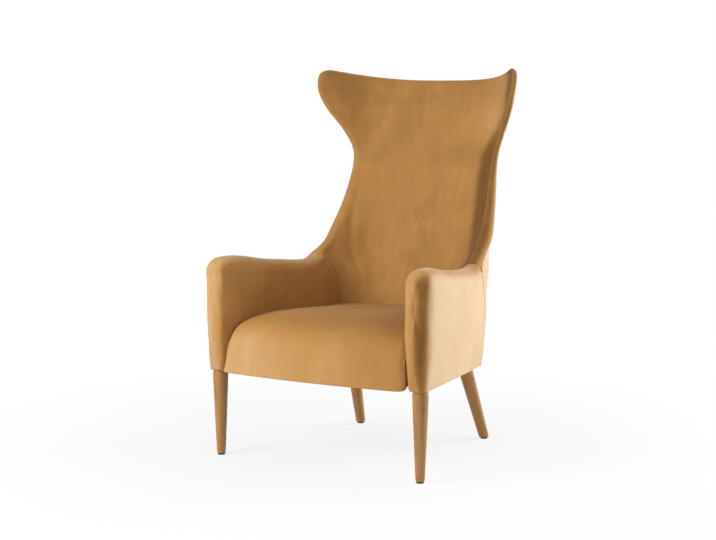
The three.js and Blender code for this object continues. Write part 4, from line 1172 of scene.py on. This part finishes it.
# %% Places round an arm's section
SIDE_STEPS, OVER_STEPS = 12, 18
TOP_POWER, LOWER_EDGE = 2.25, 5
section = [("inner", i / SIDE_STEPS) for i in range(SIDE_STEPS)]
section += [("over", math.pi * i / OVER_STEPS) for i in range(OVER_STEPS + 1)]
section += [("outer", 1 - (i + 1) / SIDE_STEPS) for i in range(SIDE_STEPS)]
section += [("under", share) for share in (0.03, 0.12, 0.35, 0.65, 0.88, 0.97)]
section.append(section[0])
print("places round an arm:", len(section) - 1)


# %% A point on an arm
def squared(value):
    """A share of a rounded end that is a little squarer than a circle."""
    return math.copysign(abs(value) ** (2 / TOP_POWER), value)


def arm_point(y, place):
    """The arm's surface at a depth and a place round its section."""
    kind, share = place
    low = min(arm_lower(y), BODY_BOTTOM + TAPER_HEIGHT - 1)
    wide = max(nose_half(y, ARM_HEIGHT), 0.2)
    top = arm_top(y)
    cap = min(max(wide, 0.2), (top - low) / 2)
    centre = arm_centre(y)
    if kind == "over":
        return Vector((centre - wide * squared(math.cos(share)), y, top - cap + cap * squared(math.sin(share))))
    edge = min(LOWER_EDGE, wide)
    z = low if kind == "under" else low + edge + share * (top - cap - low - edge)
    half = max(nose_half(y, z), 0.2)
    inner = centre - half + lean_out(z)
    outer = centre + half + lean_out(z) + outer_ease(y, z)
    if kind == "inner":
        return Vector((inner, y, z))
    if kind == "outer":
        return Vector((outer, y, z))
    rounding = max(0, 1 - 20 * min(share, 1 - share))
    return Vector((outer + (inner - outer) * share, y, low + 0.6 * edge * rounding))


print("the arm's top at its middle:", [round(v) for v in arm_point(200, ("over", math.pi / 2))])


# %% The arm's seam with the back
ARM_SEAM_LOW, ARM_SEAM_HIGH = 288, 538
SEAM_ARCH = Vector((0, -3, 15))


def seam_point(place):
    """Where the arm's seam with the back crosses a place round its section."""
    kind, share = place
    ridge = row_at(ARM_SEAM_HIGH)
    if kind == "inner":
        return row_at(ARM_SEAM_LOW + share * (ARM_SEAM_HIGH - ARM_SEAM_LOW)).crease.copy()
    if kind == "outer":
        return row_at(FIRST_ROW_Z + share * (ARM_SEAM_HIGH - FIRST_ROW_Z)).corner.copy()
    if kind == "over":
        across = (1 - math.cos(share)) / 2
        point = ridge.crease.lerp(ridge.corner, across)
        return point + SEAM_ARCH * math.sin(share)
    low_in, low_out = row_at(ARM_SEAM_LOW).crease, row_at(FIRST_ROW_Z).corner
    return low_out.lerp(low_in, share)


print("the seam crosses the arm's top at", [round(v) for v in seam_point(("over", math.pi / 2))])


# %% Rings along an arm
ARM_BLEND_Y = 320
NOSE_ANGLES = (4, 12, 22, 32, 42, 53, 64, 77, 90)
SEAM_SHARES = (0.12, 0.25, 0.38, 0.5, 0.62, 0.73, 0.83, 0.9, 0.945, 0.97, 0.985, 0.994, 1)


def arm_along(step, place):
    """A point on the arm at a step along it: a depth before the blend, then a share of the way to the seam."""
    kind, value = step
    if kind == "depth":
        return arm_point(value, place)
    seam = seam_point(place)
    y = ARM_BLEND_Y + value * (seam.y - ARM_BLEND_Y)
    return arm_point(y, place) + (seam - arm_point(seam.y, place)) * value ** 2


nose_depths = [ARM_NOSE_Y + ARM_THICKNESS / 2 * (1 - math.cos(math.radians(a))) for a in NOSE_ANGLES]
steps = [("depth", y) for y in [ARM_NOSE_Y + 0.01] + nose_depths + spaced(24, ARM_BLEND_Y, 15)]
steps += [("seam", share) for share in SEAM_SHARES]
print("rings along an arm:", len(steps))

# %% [markdown]
# ### Painted light and shade on the arms
# The arms' tone is painted light and shade: a deep painted shade where a nose turns to the side, and a pale
# painted highlight on the right arm's outer face. Each row of the table is a direction in degrees and a tone,
# with 0 to the front, 90 to the right and -90 to the left. A picture could be painted on the arm instead, but
# the tone follows the way that each part faces, so it is read from the normals of the finished cover.

# %% The arms' painted light and shade
PAINTED_SHADING_BY_FACING = {
    1: [
        [-180, 0], [-98, 0], [-60, 0.1], [-20, 0.05], [0, -0.05], [10, -0.9], [46, -1], [72, 0.6], [98, 1],
        [180, 0.6],
    ],
    -1: [[-180, 0.3], [-98, 0.6], [-20, 0.3], [28, 0.12], [40, -0.42], [98, -0.12], [180, 0]],
}
PAINTED_SHADING_ON_TOP = 0.15
PAINTED_SHADING_BLUR = {1: 3, -1: 0}


def evened(bm, layer, times):
    """Blurs a layer by averaging each corner with its neighbours."""
    for _ in range(times):
        means = []
        for vertex in bm.verts:
            around = [edge.other_vert(vertex)[layer] for edge in vertex.link_edges]
            means.append((vertex[layer] + sum(around)) / (1 + len(around)))
        for vertex, mean in zip(bm.verts, means):
            vertex[layer] = mean


def paint_shading_by_facing(bm, rows, on_top, blur):
    """Paints light and shade from the way that each part faces in plan, with one value on the top."""
    layer = bm.verts.layers.float["nap"]
    bm.normal_update()
    for vertex in bm.verts:
        facing = math.degrees(math.atan2(vertex.normal.x, -vertex.normal.y))
        low = max(k for k in range(len(rows) - 1) if rows[k][0] <= facing)
        share = smooth_share((facing - rows[low][0]) / (rows[low + 1][0] - rows[low][0]))
        round_it = rows[low][1] + share * (rows[low + 1][1] - rows[low][1])
        upward = smooth_share((vertex.normal.z - 0.35) / 0.5)
        vertex[layer] = round_it + upward * (on_top - round_it)
    evened(bm, layer, blur)


print("an arm's nap has", [len(PAINTED_SHADING_BY_FACING[side]) for side in (-1, 1)], "rows, left and right")


# %% The arms
SPINE_LOW, SPINE_HIGH = 330, 500
ARM_EDGE_WIDE, ARM_EDGE_TIGHT = 8, 1.2


def arm_place(side):
    """Places of one arm's cover, 1 for the right arm and -1 for the left one."""
    def place_of(place, step):
        point, seam, near = arm_along(step, place), seam_point(place), 0
        if step[0] == "seam":
            distance = (seam - point).length
            spine = Vector((arm_centre(point.y), point.y, min(max(point.z, SPINE_LOW), SPINE_HIGH)))
            inward = (spine - point).normalized()
            turn = 0.3 * turned_in(distance, ARM_EDGE_WIDE) + turned_in(distance, ARM_EDGE_TIGHT)
            point = point + inward * turn
            # Near the seam the cover gets a painted highlight and puckers through its seam value.
            near = smooth_share(1 - distance / 9)
        held = max(smooth_share(1.2 - (seam - point).length / 40), 1 - smooth_share((point.z - 280) / 60))
        if place[0] == "inner" and step[0] == "depth":
            held = max(held, 1 - smooth_share((point.z - 400) / 60))
        return Vector((side * point.x, point.y, point.z)), near, 0, held
    return place_of


for side, word in ((-1, "left"), (1, "right")):
    arm_bm = woven(section, steps, arm_place(side))
    bmesh.ops.remove_doubles(arm_bm, verts=arm_bm.verts, dist=0.05)
    fill_holes(arm_bm)
    bmesh.ops.recalc_face_normals(arm_bm, faces=arm_bm.faces)
    swell(f"{word} arm", arm_bm, room=0.8, reach=4)
    paint_shading_by_facing(arm_bm, PAINTED_SHADING_BY_FACING[side], PAINTED_SHADING_ON_TOP, PAINTED_SHADING_BLUR[side])
    publish(
        f"arm_{word}_velvet", arm_bm, camel_velvet, levels=1, nodes=(f"arm_cover_{word}", f"arm_pad_{word}"))

# %% [markdown]
# ## Seat
# The seat is tight: one padded panel that falls over the front like a waterfall and is drawn down between
# the arms. Each column is a closed ring, over the top and back under the foam, and the rings draw in at both
# sides so that the edges are round.

# %% The seat's profile
SEAT_FRONT_Y, SEAT_BOW, SEAT_CROWN, SEAT_RISE, SEAT_DEPTH, SEAT_SIDE_GAP = -38, 20, 14, 155, 505, 1.5
SEAT_TUCK = 25
SEAT_PROFILE = [
    [0, 0, 1, 0], [0.012, 0.157, 1, 0], [0.018, 0.314, 0.98, 0], [0.028, 0.484, 0.93, 0.1],
    [0.046, 0.654, 0.85, 0.25], [0.081, 0.83, 0.6, 0.5], [0.139, 0.941, 0.35, 0.8], [0.224, 1.007, 0.15, 1],
    [0.333, 1.043, 0, 1], [0.511, 1.033, 0, 1], [0.709, 1, 0, 0.8], [0.867, 0.984, 0, 0.35], [1, 0.98, 0, 0],
]
along = 0
profile_rows = []
for i, row in enumerate(SEAT_PROFILE):
    if i:
        last = SEAT_PROFILE[i - 1]
        along += math.hypot((row[0] - last[0]) * SEAT_DEPTH, (row[1] - last[1]) * SEAT_RISE)
    profile_rows.append([along] + row)
PROFILE_LENGTH = along
read_profile = reader(profile_rows)
print("seat profile", round(PROFILE_LENGTH), "mm long")


# %% Where the seat meets the arms and the back
def inside_back_y(x, z):
    """The depth of the inside back at a place across, for the seat's rear edge."""
    reach = min(1, abs(x) / arm_inner(SEAM_Y))
    centre = back_centre(z) + PAD_ROLL
    return centre - (centre - SEAM_Y) * reach ** 3 - PAD_ROLL * (1 - reach ** 10)


def seat_half(y, z):
    """Half the seat's width: it follows the arm's inner face and swells a little round its nose."""
    beside = max(y, ARM_NOSE_Y + SEAT_TUCK)
    return arm_centre(beside) - nose_half(beside, z) + lean_out(z) - SEAT_SIDE_GAP


print("half the seat's width at the front:", round(seat_half(0, SEAT_HEIGHT), 1), "mm")


# %% The seat's rings
PLATFORM, LIP_Y, SEAT_BACK_GAP = 341, -14.5, 2.5
profile_places = spaced(0, PROFILE_LENGTH, 60)
seat_ring_cache = {}


def seat_ring(column):
    """One closed ring of the seat, as [depth, height] pairs."""
    if column in seat_ring_cache:
        return seat_ring_cache[column]
    bulge = 1 - column ** 2
    crown = SEAT_CROWN * (bulge - 0.5 * abs(column) ** 8)
    half = seat_half(SEAM_Y, SEAT_HEIGHT)
    end_y = inside_back_y(column * half, SEAT_HEIGHT) - SEAT_BACK_GAP
    line = []
    for place in profile_places:
        deep, high, bow, crowned = read_profile(place)
        y = SEAT_FRONT_Y + deep * SEAT_DEPTH - bow * SEAT_BOW * bulge
        y += (end_y - SEAT_FRONT_Y - SEAT_DEPTH) * smooth_share((deep - 0.62) / 0.38)
        line.append([y, BODY_BOTTOM + high * SEAT_RISE + crowned * crown])
    top = line[-1][1]
    rear_low = inside_back_y(column * half, PLATFORM) - SEAT_BACK_GAP
    down = [[end_y + (rear_low - end_y) * s, top + (PLATFORM - top) * s] for s in (0.25, 0.5, 0.75, 1)]
    under = [[rear_low + (LIP_Y - rear_low) * s, PLATFORM] for s in (0.1, 0.3, 0.5, 0.7, 0.9, 1)]
    inside_lip = [[LIP_Y, z] for z in (310, 280, 260, BODY_BOTTOM + 0.5)]
    lip = [[LIP_Y + (line[0][0] - LIP_Y) * s, BODY_BOTTOM] for s in (0.2, 0.6, 0.9)]
    ring = line + down + under + inside_lip + lip
    seat_ring_cache[column] = ring
    return ring


print("points round a ring of the seat:", len(seat_ring(0)))


# %% The seat's edges
SEAT_EDGE_WIDE, SEAT_EDGE_FRONT, SEAT_EDGE_TOP = 20, 22, 11


def drawn_in(ring, i, inset):
    """A point of the ring moved inward by a distance."""
    before, after = ring[i - 1], ring[(i + 1) % len(ring)]
    deep, high = after[0] - before[0], after[1] - before[1]
    length = math.hypot(deep, high)
    return ring[i][0] + inset * high / length, ring[i][1] - inset * deep / length


def seat_point(column, index):
    """A point of the seat, drawn in near its sides. Only the part that is seen swells."""
    ring = seat_ring(column)
    i = index % len(ring)
    y, z = ring[i]
    x = column * seat_half(y, z)
    side = (1 - abs(column)) * seat_half(y, z)
    shown = i < len(profile_places)
    run = i / len(profile_places)
    on_front = (1 - smooth_share((run - 0.1) / 0.2)) * smooth_share(run / 0.16)
    deep = SEAT_EDGE_TOP + (SEAT_EDGE_FRONT - SEAT_EDGE_TOP) * on_front if shown else SEAT_EDGE_TOP
    y, z = drawn_in(ring, i, turned_in(side, SEAT_EDGE_WIDE) * deep / SEAT_EDGE_WIDE)
    front = 1 - smooth_share((run - 0.14) / 0.16)
    # Painted light and shade: the front is painted lighter to the left, towards the lamp, and darker to the
    # right, and the top darker.
    nap = (0.1 - 0.28 * column) * front - (0.34 + 0.08 * column) * (1 - front)
    held = max(smooth_share(1.2 - side / 25), smooth_share(1 - run / 0.06), smooth_share((run - 0.88) / 0.08))
    # The seam value paints a highlight along the seat's sides, besides their puckers.
    return Vector((x, y, z)), 1.6 * smooth_share(1 - side / 7) * shown, nap * shown, held if shown else 1


print("the seat's sides draw in over", SEAT_EDGE_WIDE, "mm")

# %% The seat
seat_bm = woven(edge_dense(24), list(range(len(seat_ring(0)) + 1)), seat_point)
bmesh.ops.remove_doubles(seat_bm, verts=seat_bm.verts, dist=0.02)
fill_holes(seat_bm)
bmesh.ops.recalc_face_normals(seat_bm, faces=seat_bm.faces)
swell("seat", seat_bm, room=1.5, reach=8)
publish(
    "seat_velvet", seat_bm, seat_cloth, levels=1, nodes=("seat_cover", "seat_foam"))

# %% [markdown]
# ## Legs and glides
# The legs are turned: a profile spun about its axis. A front leg stands upright and has a small groove just
# under the arm. The rear legs lean back and out, so each is spun, leant over, cut level at both ends with
# bisect, and its cut rim is bevelled. A glide is a turned plastic disc with a stem that is pressed into the
# foot.

# %% Turning
def turned(profile, steps=48):
    """A closed turning from [radius, height] pairs, spun about the z axis."""
    bm = bmesh.new()
    line = [bm.verts.new((radius, 0, height)) for radius, height in profile]
    edges = [bm.edges.new(pair) for pair in zip(line, line[1:])]
    bmesh.ops.spin(
        bm, geom=line + edges, cent=(0, 0, 0), axis=(0, 0, 1), angle=2 * math.pi, steps=steps, use_merge=True)
    bmesh.ops.remove_doubles(bm, verts=bm.verts, dist=0.01)
    bmesh.ops.recalc_face_normals(bm, faces=bm.faces)
    return bm


print("turnings are spun in millimetres")

# %% Front legs
LEG_PROFILE = [
    [0, 5.3], [11, 5.3], [12.3, 6.2], [12.6, 8], [14.6, 50], [17.3, 110], [19.5, 165], [21.6, 220],
    [22.4, 240], [22.3, 242], [21.3, 243.2], [20.1, 243.8], [20, 245], [20.1, 246.6], [20.4, 247.2],
    [21.4, 247.8], [21.8, 248.6], [21.8, 249.7], [0, 249.7],
]
for side, word in ((-1, "left"), (1, "right")):
    leg_bm = turned(LEG_PROFILE)
    bmesh.ops.translate(leg_bm, verts=leg_bm.verts, vec=(side * LEG_X, 0, 0))
    publish(f"front_leg_{word}_oak", leg_bm, leg_oak, nodes=(f"front_leg_{word}",))

# %% Leaning legs
REAR_FOOT, REAR_HEAD = Vector((220, 595.5, 0)), Vector((196, 498.5, 250))
REAR_LOW, REAR_HIGH = 5.3, 254.9
REAR_PROFILE = [
    [0, -16], [14.4, -16], [14.6, 5], [16.3, 70], [18.4, 140], [20.2, 210], [21.3, 270], [21.6, 300],
    [0, 300],
]


def cut_level(bm, height, keep_above):
    """Cuts level at a height, closes the cut and breaks its edge."""
    way = -1 if keep_above else 1
    bmesh.ops.bisect_plane(
        bm, geom=bm.verts[:] + bm.edges[:] + bm.faces[:], plane_co=(0, 0, height), plane_no=(0, 0, way),
        clear_outer=True)
    fill_holes(bm)
    rim = [edge for edge in bm.edges if all(abs(v.co.z - height) < 0.001 for v in edge.verts)]
    bmesh.ops.bevel(
        bm, geom=rim, affect="EDGES", offset=1.0, offset_type="OFFSET", segments=2, profile=0.5, material=-1)


for side, word in ((-1, "left"), (1, "right")):
    foot = Vector((side * REAR_FOOT.x, REAR_FOOT.y, REAR_FOOT.z))
    head = Vector((side * REAR_HEAD.x, REAR_HEAD.y, REAR_HEAD.z))
    lean = Vector((0, 0, 1)).rotation_difference(head - foot).to_matrix()
    leg_bm = turned(REAR_PROFILE)
    bmesh.ops.rotate(leg_bm, verts=leg_bm.verts, cent=(0, 0, 0), matrix=lean)
    bmesh.ops.translate(leg_bm, verts=leg_bm.verts, vec=foot)
    cut_level(leg_bm, REAR_LOW, True)
    cut_level(leg_bm, REAR_HIGH, False)
    publish(f"rear_leg_{word}_oak", leg_bm, leaning_oak, nodes=(f"rear_leg_{word}",))

# %% Glides
GLIDE_PROFILE = [
    [0, 0], [9.8, 0], [10.7, 0.5], [11, 1.4], [11, 3.9], [10.6, 4.7], [9.8, 5], [2.2, 5], [2.2, 20.5],
    [1.7, 21], [0, 21],
]
rear_glide_place = REAR_FOOT.lerp(REAR_HEAD, 5 / 250)
for name, x, y in (("front_glide", LEG_X, 0), ("rear_glide", rear_glide_place.x, rear_glide_place.y)):
    for side, word in ((-1, "left"), (1, "right")):
        glide_bm = turned(GLIDE_PROFILE, 32)
        bmesh.ops.translate(glide_bm, verts=glide_bm.verts, vec=(side * x, y, 0))
        publish(f"{name}_{word}_turned", glide_bm, glide_plastic, nodes=(f"{name}_{word}",))

# %% [markdown]
# ## Dust cover
# The underside is closed with a thin felted cloth. It is stapled to the rails all round with its edge turned
# under, so it is stretched, and it sags a little in the middle. It is made as a grid with a wall of half a
# millimetre.

# %% The cloth
DUST_Z, DUST_FRONT, DUST_REAR = 255.6, -13.6, 514.6
DUST_SAG, DUST_WALL = 2.5, 0.5
STEP_FROM, STEP_TO, STEP_HALF = 440, 446, 211.6
CORNER_FROM, CORNER_HALF = 499, 179.6


def dust_half(y):
    """Half the dust cover's width at a depth. It steps in behind the arms and narrows at the rear."""
    beside_arm = arm_inner(max(y, 0)) - SEAT_SIDE_GAP - 0.7
    if y <= STEP_FROM:
        return beside_arm
    if y <= STEP_TO:
        return beside_arm + (STEP_HALF - beside_arm) * (y - STEP_FROM) / (STEP_TO - STEP_FROM)
    if y <= CORNER_FROM:
        return STEP_HALF
    return STEP_HALF - (y - CORNER_FROM) / (DUST_REAR - CORNER_FROM) * (STEP_HALF - CORNER_HALF)


def dust_point(column, row):
    """A point of the cloth, which is hemmed at its edge and sags in the middle."""
    y = DUST_FRONT + row * (DUST_REAR - DUST_FRONT)
    x = column * dust_half(y)
    in_from_edge = min(1 - abs(column), row, 1 - row)
    hem = 0.35 * smooth_share((0.05 - in_from_edge) / 0.02)
    sag = DUST_SAG * (1 - column ** 4) * (1 - (2 * row - 1) ** 4)
    return (Vector((x, y, DUST_Z - hem - sag)),)


dust_bm = woven(edge_dense(14), [(1 + share) / 2 for share in edge_dense(14)], dust_point)
bmesh.ops.recalc_face_normals(dust_bm, faces=dust_bm.faces)
bmesh.ops.solidify(dust_bm, geom=dust_bm.faces, thickness=DUST_WALL)
dust_cloth = publish("dust_cover_cloth", dust_bm, felted_cloth, nodes=("dust_cover",))

# %% [markdown]
# The staples are short flat wires, one every four centimetres round the edge. Each is a bevelled cube scaled
# to a staple's crown, because its legs are in the timber.

# %% Staples
STAPLE_LENGTH, STAPLE_WIDTH, STAPLE_HEIGHT = 10, 1.2, 0.8
STAPLE_PITCH, STAPLE_INSET, STAPLE_DROP = 42, 9, 1.2


def staple(bm, place, way):
    """One staple's crown at a place, along a way in plan."""
    made = bmesh.ops.create_cube(bm, size=1)["verts"]
    bmesh.ops.scale(bm, verts=made, vec=(STAPLE_LENGTH, STAPLE_WIDTH, STAPLE_HEIGHT))
    edges = list({edge for vertex in made for edge in vertex.link_edges})
    rounded = bmesh.ops.bevel(
        bm, geom=edges, affect="EDGES", offset=0.3, offset_type="OFFSET", segments=1, profile=0.5, material=-1)
    made = list({vertex for face in rounded["faces"] for vertex in face.verts})
    turn = Vector((1, 0, 0)).rotation_difference(way).to_matrix()
    bmesh.ops.rotate(bm, verts=made, cent=(0, 0, 0), matrix=turn)
    bmesh.ops.translate(bm, verts=made, vec=place)


staple_bm = bmesh.new()
staple_z = DUST_Z - STAPLE_DROP
count = 0
for i in range(-6, 7):
    for y, reach in ((DUST_FRONT + STAPLE_INSET, 6), (DUST_REAR - STAPLE_INSET, 4)):
        if abs(i) <= reach:
            staple(staple_bm, Vector((i * STAPLE_PITCH, y, staple_z)), Vector((1, 0.08, 0)).normalized())
            count += 1
for i in range(1, 12):
    y = DUST_FRONT + STAPLE_INSET + i * STAPLE_PITCH
    x = dust_half(y) - STAPLE_INSET
    for side in (-1, 1):
        staple(staple_bm, Vector((side * x, y, staple_z)), Vector((-side * ARM_TOE, 1, 0)).normalized())
        count += 1
staples = publish("dust_cover_staples", staple_bm, zinc_plate, welded=0.0001)
print(count, "staples")

# %% [markdown]
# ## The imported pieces
# The frame, the webbing and the fixings keep their own shapes. They only need finishes, and each timber gets
# the one whose grain runs along it.

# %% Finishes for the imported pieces
def dress(material, *names):
    """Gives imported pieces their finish. A name that ends in _ stands for its left and right."""
    for name in names:
        for full in ([name + "left", name + "right"] if name.endswith("_") else [name]):
            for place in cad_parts[full].material_slots:
                place.material = material


dress(beech_up, "arm_front_post_", "arm_rear_post_", "back_stile_")
dress(beech_along, "arm_top_rail_", "arm_bottom_rail_", "side_seat_rail_")
dress(
    beech_across, "front_seat_rail", "rear_seat_rail", "corner_block_front_", "corner_block_rear_",
    "back_bottom_rail", "back_lumbar_rail", "back_top_rail")
dress(hardboard, "outer_back_board")
dress(webbing_along, *[f"seat_strap_long_{i}" for i in range(1, 6)])
dress(webbing_across, *[f"seat_strap_cross_{i}" for i in range(1, 4)])
dress(webbing_back, *[f"back_strap_{i}" for i in range(1, 5)])
dress(zinc_plate, "front_leg_bolt_", "rear_leg_bolt_", "front_leg_nut_", "rear_leg_nut_")
print("packed pieces dressed")
